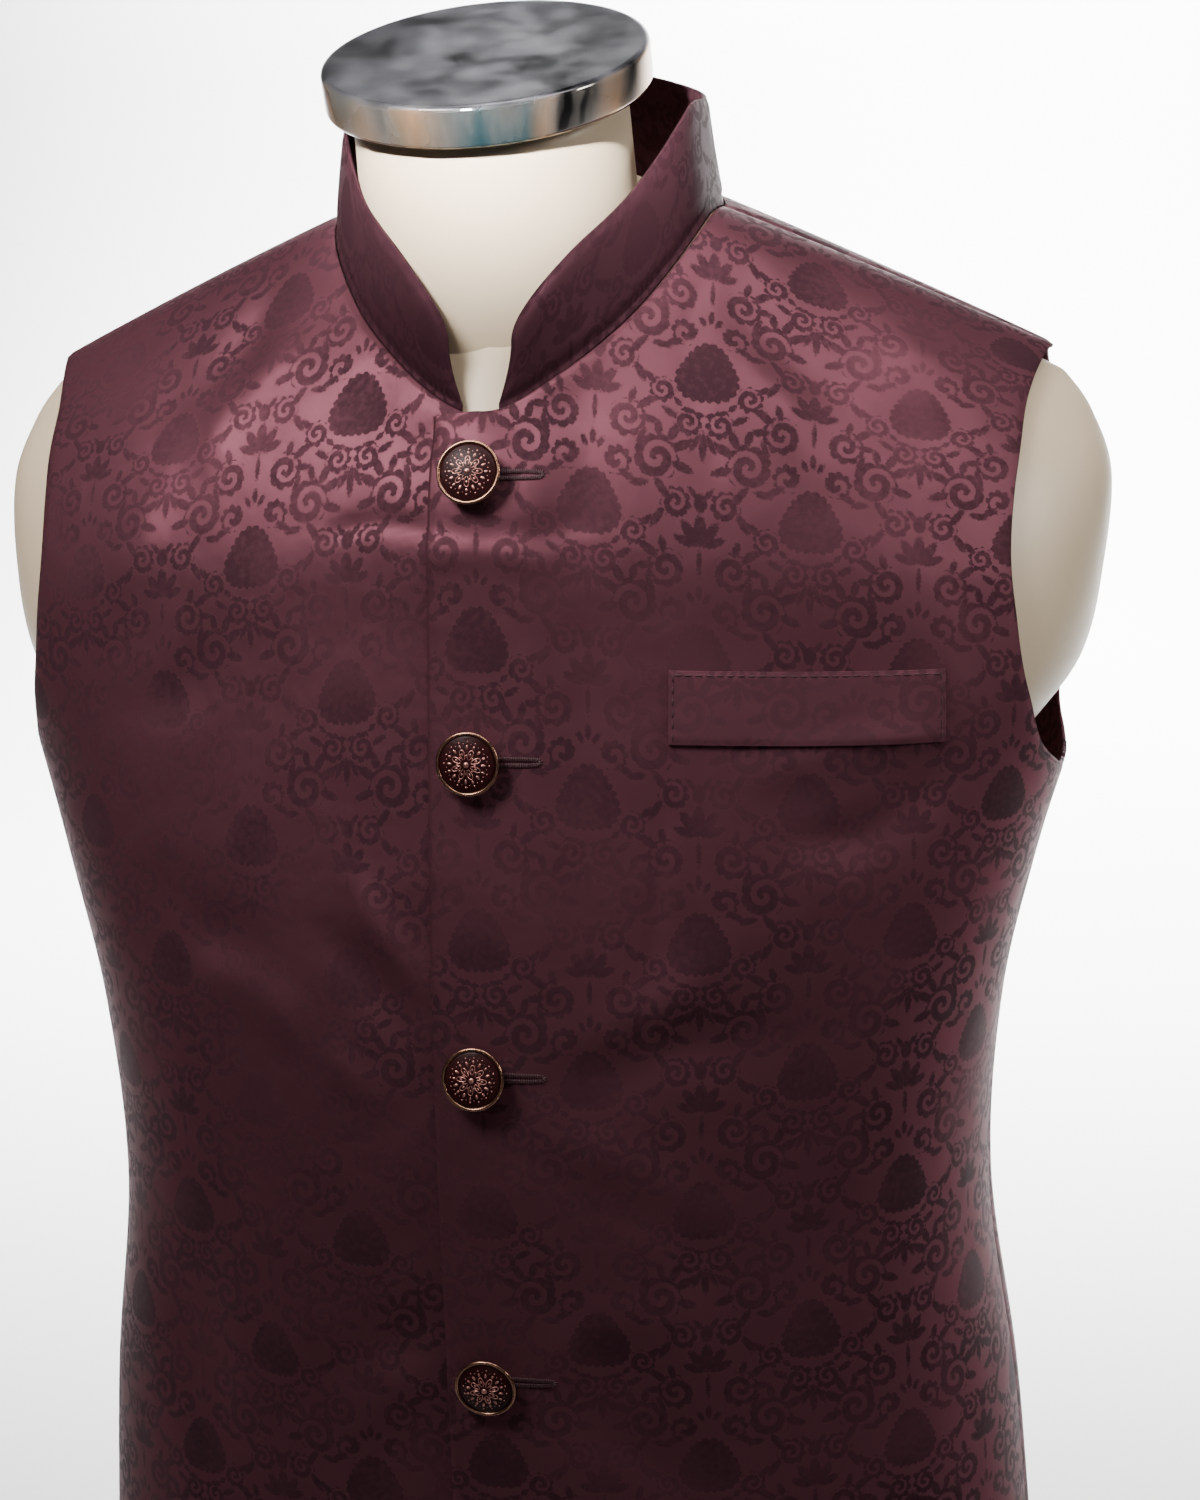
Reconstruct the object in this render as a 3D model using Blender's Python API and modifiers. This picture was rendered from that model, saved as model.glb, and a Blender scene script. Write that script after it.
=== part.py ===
"""Nehru jacket, sleeveless and buttoned up, on a limbless dress form with a chrome neck cap.

Metres, +Z up. The front faces -Y and the wearer's left is +X. The origin is the middle of the
form's flat base. The form and the jacket share one family of level curves: each level runs from
the middle of the front or back (u = 0) to the side line (u = 1), and the last level is the ridge
of the shoulders. The jacket's panels are patches of those levels, moved out by the ease.
"""

import bmesh
import bpy
import numpy as np
from mathutils import Matrix, Vector

WALL = 0.0018  # cloth with its interlining
SEAM_GAP = 0.0003
EDGE_PULL = 0.0003  # each of two joined edges stands back this far
CLEARANCE = 0.0032  # least room between the form and the inside of the cloth

LEVEL_COLUMNS = (
    "middle_z", "side_z", "half", "front", "back", "middle_y", "side_y", "square",
    "ease_side", "ease_front", "ease_back", "nape",
)
LEVELS = (
    (0.000, 0.000, 0.165, 0.094, 0.100, -0.002, -0.002, 2.35, 0.014, 0.010, 0.010, 0.000),
    (0.050, 0.050, 0.174, 0.100, 0.110, -0.002, -0.002, 2.35, 0.014, 0.010, 0.010, 0.000),
    (0.130, 0.130, 0.176, 0.101, 0.110, -0.002, -0.002, 2.35, 0.010, 0.008, 0.008, 0.000),
    (0.210, 0.210, 0.172, 0.100, 0.102, -0.002, -0.002, 2.35, 0.008, 0.006, 0.006, 0.000),
    (0.290, 0.290, 0.168, 0.101, 0.092, -0.002, -0.002, 2.35, 0.006, 0.004, 0.006, 0.000),
    (0.370, 0.370, 0.159, 0.104, 0.085, -0.002, -0.002, 2.35, 0.005, 0.002, 0.005, 0.000),
    (0.440, 0.440, 0.163, 0.104, 0.090, -0.002, -0.002, 2.35, 0.005, 0.001, 0.003, 0.000),
    (0.500, 0.495, 0.169, 0.100, 0.100, -0.002, 0.000, 2.35, 0.011, 0.001, 0.001, 0.000),
    (0.548, 0.535, 0.177, 0.095, 0.106, -0.001, 0.004, 2.30, 0.015, 0.001, 0.001, 0.000),
    (0.592, 0.570, 0.201, 0.090, 0.106, 0.000, 0.009, 2.25, 0.004, 0.001, 0.001, 0.000),
    (0.632, 0.605, 0.209, 0.086, 0.100, 0.002, 0.014, 2.20, 0.001, 0.001, 0.001, 0.002),
    (0.675, 0.636, 0.211, 0.071, 0.086, 0.004, 0.019, 2.10, 0.001, 0.001, 0.001, 0.006),
    (0.716, 0.657, 0.204, 0.046, 0.062, 0.006, 0.022, 2.00, 0.001, 0.001, 0.001, 0.012),
    (0.746, 0.669, 0.196, 0.023, 0.032, 0.007, 0.024, 2.00, 0.001, 0.001, 0.001, 0.010),
    (0.754, 0.673, 0.191, 0.000, 0.000, 0.007, 0.024, 2.00, 0.001, 0.001, 0.001, 0.000),
)
RIDGE = len(LEVELS) - 1
SHOULDER_BOW = 1.15  # 1 would be a straight slope from the neck to the tip

# Where the panels' edges run on the levels. Share goes from the hem (0) to the ridge (1).
EDGE_COLUMNS = ("share", "u", "level")
FRONT_INNER = (  # the centre line to the pit of the neck at share 0.81, then the neckline
    (0.00, 0.000, 1.00),
    (0.30, 0.000, 4.00),
    (0.52, 0.000, 7.00),
    (0.60, 0.000, 8.10),
    (0.66, 0.000, 8.95),
    (0.74, 0.000, 10.10),
    (0.81, -0.041, 10.85),
    (0.84, 0.000, 10.86),
    (0.86, 0.024, 10.93),
    (0.89, 0.085, 11.31),
    (0.93, 0.165, 12.00),
    (0.97, 0.220, 13.00),
    (1.00, 0.238, 14.00),
)
FRONT_OUTER = (  # the side seam, then the armhole
    (0.00, 1.000, 1.00),
    (0.30, 1.000, 4.00),
    (0.52, 1.000, 7.00),
    (0.595, 1.000, 7.93),
    (0.615, 0.930, 7.97),
    (0.64, 0.800, 8.22),
    (0.68, 0.690, 8.80),
    (0.74, 0.625, 9.70),
    (0.81, 0.612, 10.75),
    (0.86, 0.640, 11.45),
    (0.91, 0.690, 12.20),
    (0.96, 0.765, 13.10),
    (1.00, 0.830, 14.00),
)
BACK_OUTER = (
    (0.00, 1.000, 1.00),
    (0.30, 1.000, 4.00),
    (0.52, 1.000, 7.00),
    (0.595, 1.000, 7.93),
    (0.615, 0.930, 7.97),
    (0.64, 0.820, 8.20),
    (0.68, 0.735, 8.80),
    (0.76, 0.690, 9.90),
    (0.86, 0.690, 11.30),
    (0.94, 0.740, 12.70),
    (1.00, 0.830, 14.00),
)
BACK_MIDDLE = (
    (0.00, 0.000, 1.00),
    (0.30, 0.000, 4.00),
    (0.52, 0.000, 7.00),
    (0.60, 0.000, 8.00),
    (0.76, 0.000, 10.00),
    (0.90, 0.000, 11.65),
    (1.00, 0.000, 12.75),
)
PIT_SHARE = 0.81
NECK_SIDE_U = 0.238  # where the collar crosses the ridge
TIP_U = 0.830  # where the armhole crosses the ridge
NAPE_LEVEL = 12.75
BACK_NECK_COLUMNS = 5  # of the back's columns on each side, those under the neckline

# How rows are spread: from, to and how many between.
ROW_SPANS = ((0.0, 0.58, 12), (0.58, 0.70, 7), (0.70, PIT_SHARE, 3), (PIT_SHARE, 1.0, 12))
FRONT_STEPS = 15
BACK_STEPS = 14

LAP = 0.0157  # how far each front runs past the centre line
LAP_LIFT = WALL + 3.5 * SEAM_GAP  # the left front lies over the right
LAP_FADE = (0.017, 0.040)  # from the centre, where that lift fades out

COLLAR_HEIGHT = 0.036
COLLAR_WALL = 0.0018
COLLAR_SET_IN = 0.0010  # from the panels' cut edge
COLLAR_SET_UP = 0.0018
COLLAR_GAP = 0.0136  # between the two front ends, at the seam
COLLAR_ROUNDING = 0.045
COLLAR_FRONT_SHARE = 0.56  # of the height, at the very front
COLLAR_FLARE = 0.005  # the front ends part towards their tops
COLLAR_LEAN = 8.0  # degrees inward at the sides and behind
COLLAR_FRONT_LEAN = 3.0
COLLAR_RISE_STEPS = 5

WELT_INNER_X, WELT_OUTER_X = 0.067, 0.158
WELT_BOTTOM_Z, WELT_TOP_Z = 0.5575, 0.5825
WELT_DROP = 0.004  # the end near the armhole is this much lower
WELT_WALL = 0.0012

BUTTON_RADIUS = 0.0112
BUTTON_OUTLINE_COLUMNS = ("radius", "height")
BUTTON_OUTLINE = (  # dome, groove, rolled rim, back plate and shank
    (0.0000, 0.0068),
    (0.0045, 0.0064),
    (0.0085, 0.0052),
    (0.0096, 0.0048),
    (0.0102, 0.0054),
    (BUTTON_RADIUS, 0.0048),
    (BUTTON_RADIUS, 0.0036),
    (0.0095, 0.0030),
    (0.0034, 0.0030),
    (0.0030, 0.0000),
    (0.0000, 0.0000),
)
FIRST_BUTTON_Z = 0.648
BUTTON_DROPS = (0.0, 0.096, 0.206, 0.320, 0.435)  # each one below the first
BUTTON_TILTS = (0.0, 2.0, -7.0, 6.0, 3.0)  # degrees each one nods forward on its shank

FORM_LEVEL_SPANS = ((0.0, 1.0, 2), (1.0, 8.0, 7), (8.0, 13.5, 11), (13.5, RIDGE, 2))
FORM_STEPS = 16

NECK_RADIUS = 0.0490
NECK_FOOT_RADIUS = 0.0530
NECK_X = -0.002  # the jacket hangs a little to the wearer's left of the neck
NECK_Y = 0.000
NECK_TOP_X = -0.0065
NECK_TOP_Y = -0.0175  # the neck leans forward
NECK_FOOT_Z = 0.620
NECK_TOP_Z = 0.776
CAP_RADIUS = 0.0585
CAP_THICKNESS = 0.0150
CAP_TILT = 19.0  # degrees forward
CAP_EDGE = 0.0012  # its rounding

WINE = (0.105, 0.030, 0.042, 1.0)
PLUM = (0.070, 0.022, 0.032, 1.0)
ENAMEL = (0.050, 0.008, 0.010, 1.0)
CREAM = (0.680, 0.620, 0.540, 1.0)
CHROME = (0.800, 0.800, 0.800, 1.0)


def hermite(places, values, at, last_slope=None):
    """Smooth curve through table rows: a cubic on each interval, slopes from the neighbours."""
    places = np.asarray(places, float)
    values = np.asarray(values, float)
    steps = np.diff(places)
    rises = np.diff(values) / steps
    slopes = np.empty_like(values)
    slopes[1:-1] = (rises[:-1] * steps[1:] + rises[1:] * steps[:-1]) / (steps[:-1] + steps[1:])
    slopes[0] = rises[0]
    slopes[-1] = rises[-1] if last_slope is None else last_slope
    index = np.clip(np.searchsorted(places, at, side="right") - 1, 0, len(steps) - 1)
    share = (at - places[index]) / steps[index]
    turn = share * share * (3.0 - 2.0 * share)
    start = share * (1.0 - share) ** 2
    end = share * share * (share - 1.0)
    bend = start * slopes[index] + end * slopes[index + 1]
    return values[index] + (values[index + 1] - values[index]) * turn + bend * steps[index]


def level_value(column, level):
    """One named column of LEVELS, read smoothly between its rows."""
    values = [row[LEVEL_COLUMNS.index(column)] for row in LEVELS]
    last_slope = 0.0 if column in ("middle_z", "side_z") else None
    return hermite(np.arange(len(values)), values, level, last_slope)


def level_point(u, level, side, ease):
    """Point on the form (ease 0) or the jacket (ease 1); side is -1 in front and 1 behind.

    Each level is half a superellipse: sideways half * sin(a)^p and depth * cos(a)^p with
    p = 2 / square. Its height goes from middle_z to side_z along the breadth.
    """
    room = ease * (CLEARANCE + WALL)
    half = level_value("half", level) + ease * level_value("ease_side", level) + room
    name = "front" if side < 0 else "back"
    depth = level_value(name, level) + ease * level_value("ease_" + name, level)
    upper = np.clip((level - (RIDGE - 3)) / 3, 0.0, 1.0)
    depth = depth + room * (1.0 - upper) + room * np.sqrt(np.clip(1.0 - upper, 0.0, 1.0)) * upper
    power = 2.0 / level_value("square", level)
    angle = np.abs(u) * np.pi / 2
    breadth = np.sin(angle) ** power
    x = np.sign(u) * half * breadth
    middle_y = level_value("middle_y", level)
    line_y = middle_y + (level_value("side_y", level) - middle_y) * breadth
    y = line_y + side * depth * np.clip(np.cos(angle), 0.0, 1.0) ** power
    middle_z = level_value("middle_z", level)
    side_z = level_value("side_z", level)
    z = middle_z + (side_z - middle_z) * breadth**SHOULDER_BOW + room * upper * 1.1
    if side > 0:
        z = z + level_value("nape", level) * (1.0 - breadth) ** 1.5
    return np.stack([x, y, z], axis=-1)


def lifted(u, level, side, lift):
    """A point on the jacket's surface moved out along the surface normal by lift."""
    step = 1e-3
    along = level_point(u + step, level, side, 1.0) - level_point(u - step, level, side, 1.0)
    up = level_point(u, np.minimum(level + step, RIDGE), side, 1.0)
    up = up - level_point(u, np.minimum(level + step, RIDGE) - 2 * step, side, 1.0)
    normal = np.cross(along, up) * (-side)
    length = np.linalg.norm(normal, axis=-1, keepdims=True)
    normal = normal / np.maximum(length, 1e-12)
    return level_point(u, level, side, 1.0) + normal * np.asarray(lift)[..., None]


def smoothstep(low, high, value):
    share = np.clip((value - low) / (high - low), 0.0, 1.0)
    return share * share * (3.0 - 2.0 * share)


def edge_place(edge, share):
    """(u, level) of a panel's edge at these shares of its way up."""
    places = [row[0] for row in edge]
    u = hermite(places, [row[1] for row in edge], share)
    level = hermite(places, [row[2] for row in edge], share)
    return u, level


def u_of_x(x, level):
    """The u whose sideways place on the jacket's level is x."""
    half = level_value("half", level) + level_value("ease_side", level) + CLEARANCE + WALL
    power = 2.0 / level_value("square", level)
    share = np.clip(np.abs(x) / half, 0.0, 1.0) ** (1.0 / power)
    return np.sign(x) * np.arcsin(share) * 2 / np.pi


def level_of_z(u, z, side):
    """The level whose height at u is z, found by halving."""
    low = np.zeros_like(z)
    high = np.full_like(z, float(RIDGE))
    for _ in range(40):
        middle = (low + high) / 2
        below = level_point(u, middle, side, 1.0)[..., 2] < z
        low = np.where(below, middle, low)
        high = np.where(below, high, middle)
    return (low + high) / 2


def pull_edge(edge, inside):
    """Moves an edge's points a little towards their neighbours, to leave room at the seam."""
    step = inside - edge
    edge += step / np.linalg.norm(step, axis=-1, keepdims=True) * EDGE_PULL


def spread_rows(spans):
    """Places from the first span's low end to the last one's high end, as a column."""
    parts = [np.linspace(low, high, rows + 1)[1:] for low, high, rows in spans]
    return np.concatenate([[spans[0][0]], *parts])[:, None]


def row_shares():
    """The rows of a panel, closer together round the armhole's foot and beside the neckline."""
    return spread_rows(ROW_SPANS)


def front_grid(lap_lift):
    """Rows of points of one front, from the hem to the shoulder seam, lap edge first."""
    share = row_shares()
    steps = np.linspace(0.0, 1.0, FRONT_STEPS + 1)[None, :]
    inner_u, inner_level = edge_place(FRONT_INNER, share)
    outer_u, outer_level = edge_place(FRONT_OUTER, share)
    lap_u = u_of_x(np.full_like(inner_level, -LAP), inner_level)
    start_u = np.where(share <= PIT_SHARE, lap_u, inner_u)
    u = start_u + (outer_u - start_u) * steps
    level = inner_level + (outer_level - inner_level) * steps
    x = level_point(u, level, -1, 1.0)[..., 0]
    fade = 1.0 - smoothstep(LAP_FADE[0], LAP_FADE[1], x)
    points = lifted(u, level, -1, lap_lift * fade)
    pull_edge(points[:, -1], points[:, -2])
    pull_edge(points[-1], points[-2])
    return points


def back_neck(turn):
    """(u, level) along the back neckline, turn 0 at the nape and 1 on the ridge."""
    angle = turn * np.pi / 2
    u = NECK_SIDE_U * np.sin(angle)
    level = NAPE_LEVEL + (RIDGE - NAPE_LEVEL) * (1.0 - np.cos(angle))
    return u, level


def back_grid():
    """Rows of the back, hem to top edge, from the wearer's right side to the left.

    A patch between four edges on the levels: hem, side and armhole, middle line, and the top
    edge, which is neckline and then shoulder seam.
    """
    share = row_shares()
    steps = np.linspace(-1.0, 1.0, 2 * BACK_STEPS + 1)[None, :]
    spread = np.abs(steps)
    neck_share = BACK_NECK_COLUMNS / BACK_STEPS
    neck_u, top_level = back_neck(np.minimum(spread / neck_share, 1.0))
    beyond = np.clip((spread - neck_share) / (1.0 - neck_share), 0.0, 1.0)
    top_u = neck_u + (TIP_U - NECK_SIDE_U) * beyond
    outer_u, outer_level = edge_place(BACK_OUTER, share)
    middle_level = edge_place(BACK_MIDDLE, share)[1]
    u = spread * outer_u + share * (top_u - spread * TIP_U)
    across = (1.0 - spread) * middle_level + spread * outer_level
    straight_top = (1.0 - spread) * NAPE_LEVEL + spread * RIDGE
    level = across + share * (top_level - straight_top)
    points = lifted(np.sign(steps) * u, np.minimum(level, RIDGE), 1, np.zeros_like(u))
    pull_edge(points[:, 0], points[:, 1])
    pull_edge(points[:, -1], points[:, -2])
    pull_edge(points[-1], points[-2])
    return points


def mirrored(points):
    """The same grid on the other side of the body, its rows turned so that it still faces out."""
    return points[:, ::-1] * np.array([-1.0, 1.0, 1.0])


def grid_mesh(name, points):
    """An open sheet from rows of points, facing out where rows run up and columns to the left."""
    rows, columns = points.shape[:2]
    index = np.arange(rows * columns).reshape(rows, columns)
    corners = [index[:-1, :-1], index[:-1, 1:], index[1:, 1:], index[1:, :-1]]
    faces = np.stack(corners, axis=-1).reshape(-1, 4)
    mesh = bpy.data.meshes.new(name)
    mesh.from_pydata(points.reshape(-1, 3).tolist(), [], faces.tolist())
    return mesh


def material(name, colour, roughness, metallic):
    found = bpy.data.materials.get(name)
    if found:
        return found
    made = bpy.data.materials.new(name)
    made.use_nodes = True
    shader = made.node_tree.nodes["Principled BSDF"]
    shader.inputs["Base Color"].default_value = colour
    shader.inputs["Roughness"].default_value = roughness
    shader.inputs["Metallic"].default_value = metallic
    return made


def place(name, mesh, finish, collection):
    mesh.shade_smooth()
    mesh.materials.append(finish)
    made = bpy.data.objects.new(name, mesh)
    collection.objects.link(made)
    return made


def cloth_sheet(name, points, wall, collection, finish):
    """A cloth panel: an open sheet on its outer face, with its wall added inwards."""
    made = place(name, grid_mesh(name, points), finish, collection)
    solid = made.modifiers.new("wall", "SOLIDIFY")
    solid.thickness = wall
    solid.offset = -1.0
    return made


def jacquard():
    return material("wine_jacquard", WINE, 0.42, 0.0)


def add_panels(collection):
    """Two fronts and the back; the wearer's left front laps over the right."""
    left = front_grid(LAP_LIFT)
    right = mirrored(front_grid(0.0))
    cloth_sheet("front_left", left, WALL, collection, jacquard())
    cloth_sheet("front_right", right, WALL, collection, jacquard())
    cloth_sheet("back", back_grid()[:, ::-1], WALL, collection, jacquard())


def neckline():
    """Points of the whole neck seam, right front end to left, on the panels' own rows."""
    share = row_shares()[:, 0]
    u, level = edge_place(FRONT_INNER, share[share > PIT_SHARE])
    front = level_point(u, level, -1, 1.0)
    first = np.argmax(front[:, 0] > COLLAR_GAP / 2)
    before, after = front[first - 1], front[first]
    part = (COLLAR_GAP / 2 - before[0]) / (after[0] - before[0])
    end = before + (after - before) * part
    u, level = back_neck(np.linspace(1.0, 0.0, BACK_NECK_COLUMNS + 1)[1:])
    half = np.concatenate([end[None, :], front[first:], level_point(u, level, 1, 1.0)])
    other = half[::-1] * np.array([-1.0, 1.0, 1.0])
    whole = np.concatenate([half, other[1:]])[::-1]
    steps = np.linalg.norm(np.diff(whole, axis=0), axis=1)
    return whole, np.concatenate([[0.0], np.cumsum(steps)])


def add_collar(collection):
    """A stand band on the neck seam: it leans in a little, and its front ends are rounded."""
    foot, along = neckline()
    to_end = np.minimum(along, along[-1] - along)
    short = np.clip(1.0 - to_end / COLLAR_ROUNDING, 0.0, 1.0)
    height = COLLAR_HEIGHT * (
        COLLAR_FRONT_SHARE + (1.0 - COLLAR_FRONT_SHARE) * (1.0 - short**2) ** 0.6
    )
    along_seam = np.gradient(foot, along, axis=0)
    along_seam = along_seam / np.linalg.norm(along_seam, axis=1, keepdims=True)
    from_front = np.where(along < along[-1] / 2, 1.0, -1.0) * np.exp(-to_end / 0.012)
    flare = along_seam * (from_front * COLLAR_FLARE)[:, None]
    inward = np.array([0.0, NECK_Y, 0.0]) - foot
    inward[:, 2] = 0.0
    inward = inward / np.linalg.norm(inward, axis=1, keepdims=True)
    in_front = smoothstep(0.0, 0.9, inward[:, 1:2])
    lean = np.radians(COLLAR_LEAN + (COLLAR_FRONT_LEAN - COLLAR_LEAN) * in_front)
    rise = inward * np.sin(lean) + np.array([0.0, 0.0, 1.0]) * np.cos(lean)
    foot = foot + inward * COLLAR_SET_IN + np.array([0.0, 0.0, COLLAR_SET_UP])
    share = np.linspace(0.0, 1.0, COLLAR_RISE_STEPS + 1)[:, None, None]
    points = foot + rise * height[:, None] * share + flare * share**2
    finish = material("plum_jacquard", PLUM, 0.5, 0.0)
    cloth_sheet("collar", points, COLLAR_WALL, collection, finish)


def add_welt(collection):
    """The breast pocket's welt, a strip on the left front made from the front's own points."""
    across = np.linspace(WELT_INNER_X, WELT_OUTER_X, 11)[None, :]
    up = np.linspace(WELT_BOTTOM_Z, WELT_TOP_Z, 4)[:, None]
    x = across + 0.0 * up
    z = up - WELT_DROP * (across - WELT_INNER_X) / (WELT_OUTER_X - WELT_INNER_X)
    level = level_of_z(np.full_like(x, 0.4), z, -1)
    for _ in range(6):
        u = u_of_x(x, level)
        level = level_of_z(u, z, -1)
    points = lifted(u, level, -1, np.full_like(u, WELT_WALL + 1.5 * SEAM_GAP))
    cloth_sheet("breast_welt", points, WELT_WALL, collection, jacquard())


def button_mesh():
    """A metal shank button turned about its axis: shank, back plate, rolled rim and low dome."""
    mesh = bpy.data.meshes.new("button")
    points = [(radius, 0.0, height) for radius, height in BUTTON_OUTLINE]
    mesh.from_pydata(points, [(i, i + 1) for i in range(len(points) - 1)], [])
    return mesh


def add_buttons(collection):
    mesh = button_mesh()
    finish = material("button_enamel", ENAMEL, 0.3, 0.3)
    mesh.materials.append(finish)
    for number, drop in enumerate(BUTTON_DROPS):
        height = np.array([FIRST_BUTTON_Z - drop])
        level = level_of_z(np.zeros(1), height, -1)
        foot = lifted(np.zeros(1), level, -1, np.array([LAP_LIFT + 2 * SEAM_GAP]))[0]
        skin = lifted(np.zeros(1), level, -1, np.array([0.0]))[0]
        facing = Vector(foot - skin).normalized()
        tilt = Matrix.Rotation(np.radians(BUTTON_TILTS[number]), 4, "X")
        facing = tilt @ facing
        made = bpy.data.objects.new(f"button_{number + 1}", mesh)
        collection.objects.link(made)
        made.location = foot
        made.rotation_euler = facing.to_track_quat("Z", "Y").to_euler()
        turn = made.modifiers.new("turned", "SCREW")
        turn.steps = 24
        turn.render_steps = 24
        turn.use_merge_vertices = True
        turn.merge_threshold = 0.00005


def add_form(collection):
    """The limbless form: torso with rounded shoulder caps, joined to a plain neck column."""
    levels = spread_rows(FORM_LEVEL_SPANS)
    steps = np.linspace(-1.0, 1.0, 2 * FORM_STEPS + 1)[None, :]
    front = level_point(steps, levels + 0.0 * steps, -1, 0.0)
    back = level_point(steps, levels + 0.0 * steps, 1, 0.0)[:, ::-1]
    ring = np.concatenate([front[:, :-1], back[:, :-1]], axis=1)
    rows, count = ring.shape[:2]
    work = bmesh.new()
    loops = []
    for row in range(rows):
        loops.append([work.verts.new(point) for point in ring[row]])
    for row in range(rows - 1):
        for i in range(count):
            j = (i + 1) % count
            work.faces.new((loops[row][i], loops[row][j], loops[row + 1][j], loops[row + 1][i]))
    work.faces.new(list(reversed(loops[0])))
    bmesh.ops.remove_doubles(work, verts=work.verts, dist=0.00001)
    bmesh.ops.recalc_face_normals(work, faces=work.faces)
    mesh = bpy.data.meshes.new("form_torso")
    work.to_mesh(mesh)
    work.free()
    torso = place("form_torso", mesh, material("form_cream", CREAM, 0.5, 0.0), collection)
    return torso


def neck_frame(height):
    """The neck's axis leans forward by degrees; the frame at the top is the cap's."""
    tilt = Matrix.Rotation(np.radians(CAP_TILT), 4, "X")
    return Matrix.Translation(Vector((NECK_TOP_X, NECK_TOP_Y, height))) @ tilt


def add_neck(torso, cutters):
    """A tapered column whose top is cut to the cap's slope, joined to the torso."""
    work = bmesh.new()
    bmesh.ops.create_cone(
        work, cap_ends=True, segments=48, radius1=NECK_FOOT_RADIUS, radius2=NECK_RADIUS,
        depth=NECK_TOP_Z - NECK_FOOT_Z,
    )
    top_frame = neck_frame(NECK_TOP_Z)
    middle = (NECK_TOP_Z + NECK_FOOT_Z) / 2
    for vert in work.verts:
        if vert.co.z > 0:
            flat = Vector((vert.co.x, vert.co.y, 0.0))
            vert.co = top_frame @ flat
        else:
            vert.co = vert.co + Vector((NECK_X, NECK_Y, middle))
    mesh = bpy.data.meshes.new("neck_column")
    work.to_mesh(mesh)
    work.free()
    column = bpy.data.objects.new("neck_column", mesh)
    column.hide_render = True
    column.display_type = "WIRE"
    cutters.objects.link(column)
    join = torso.modifiers.new("neck", "BOOLEAN")
    join.operation = "UNION"
    join.object = column


def add_cap(collection):
    """The polished disc that closes the neck, its edges rounded."""
    work = bmesh.new()
    bmesh.ops.create_cone(
        work, cap_ends=True, segments=56, radius1=CAP_RADIUS, radius2=CAP_RADIUS,
        depth=CAP_THICKNESS,
    )
    bmesh.ops.translate(work, verts=work.verts, vec=(0.0, 0.0, CAP_THICKNESS / 2 + SEAM_GAP))
    mesh = bpy.data.meshes.new("form_neck_cap")
    work.to_mesh(mesh)
    work.free()
    cap = place("form_neck_cap", mesh, material("chrome", CHROME, 0.06, 1.0), collection)
    cap.matrix_world = neck_frame(NECK_TOP_Z)
    edge = cap.modifiers.new("edge", "BEVEL")
    edge.width = CAP_EDGE
    edge.segments = 2


def main():
    for old in list(bpy.data.objects):
        bpy.data.objects.remove(old)
    collection = bpy.data.collections.new("nehru_jacket_on_form")
    cutters = bpy.data.collections.new("cutters")
    bpy.context.scene.collection.children.link(collection)
    bpy.context.scene.collection.children.link(cutters)
    add_panels(collection)
    add_collar(collection)
    add_welt(collection)
    add_buttons(collection)
    torso = add_form(collection)
    add_neck(torso, cutters)
    add_cap(collection)


main()
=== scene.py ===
"""A wine jacquard nehru jacket, buttoned up on a cream dress form with a chrome neck cap.

Metres, +Z up. The front faces -Y and the wearer's left is +X, as in the frame.
"""

import bmesh
import bpy
import numpy as np
from mathutils import Matrix, Vector


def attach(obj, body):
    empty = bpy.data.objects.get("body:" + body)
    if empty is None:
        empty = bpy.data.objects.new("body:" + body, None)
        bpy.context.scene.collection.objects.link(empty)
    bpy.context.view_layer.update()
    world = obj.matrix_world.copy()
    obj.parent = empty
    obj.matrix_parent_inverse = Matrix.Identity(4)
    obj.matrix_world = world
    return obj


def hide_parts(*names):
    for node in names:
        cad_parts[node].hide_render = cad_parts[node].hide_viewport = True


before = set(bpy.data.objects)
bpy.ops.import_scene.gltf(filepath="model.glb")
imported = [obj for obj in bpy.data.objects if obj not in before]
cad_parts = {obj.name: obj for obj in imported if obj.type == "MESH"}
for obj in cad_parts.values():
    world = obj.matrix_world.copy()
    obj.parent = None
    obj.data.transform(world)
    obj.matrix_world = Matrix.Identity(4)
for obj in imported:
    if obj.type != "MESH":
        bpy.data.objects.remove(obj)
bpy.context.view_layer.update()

# ---- Where it is seen from -------------------------------------------------------------------
# A close view from a little to the wearer's left and slightly above, so that the hem and the
# wearer's right armhole pass out of the picture.

VIEW_TURN, VIEW_RISE, VIEW_ROLL = np.radians([12.5, 13.0, 1.8])
VIEW_TARGET = np.array([0.028, -0.026, 0.539])
VIEW_DISTANCE = 1.05
VIEW_FOCAL_SHARE = 1.90  # the focal length over the picture's height
SENSOR = 36.0
NEAR_CLIP = 0.02
UP = np.array([0.0, 0.0, 1.0])
MIRROR = np.array([-1.0, 1.0, 1.0])  # swaps the wearer's left and right


def unit(vectors):
    """Each vector over its length."""
    vectors = np.asarray(vectors, float)
    return vectors / np.maximum(np.linalg.norm(vectors, axis=-1, keepdims=True), 1e-12)


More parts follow.
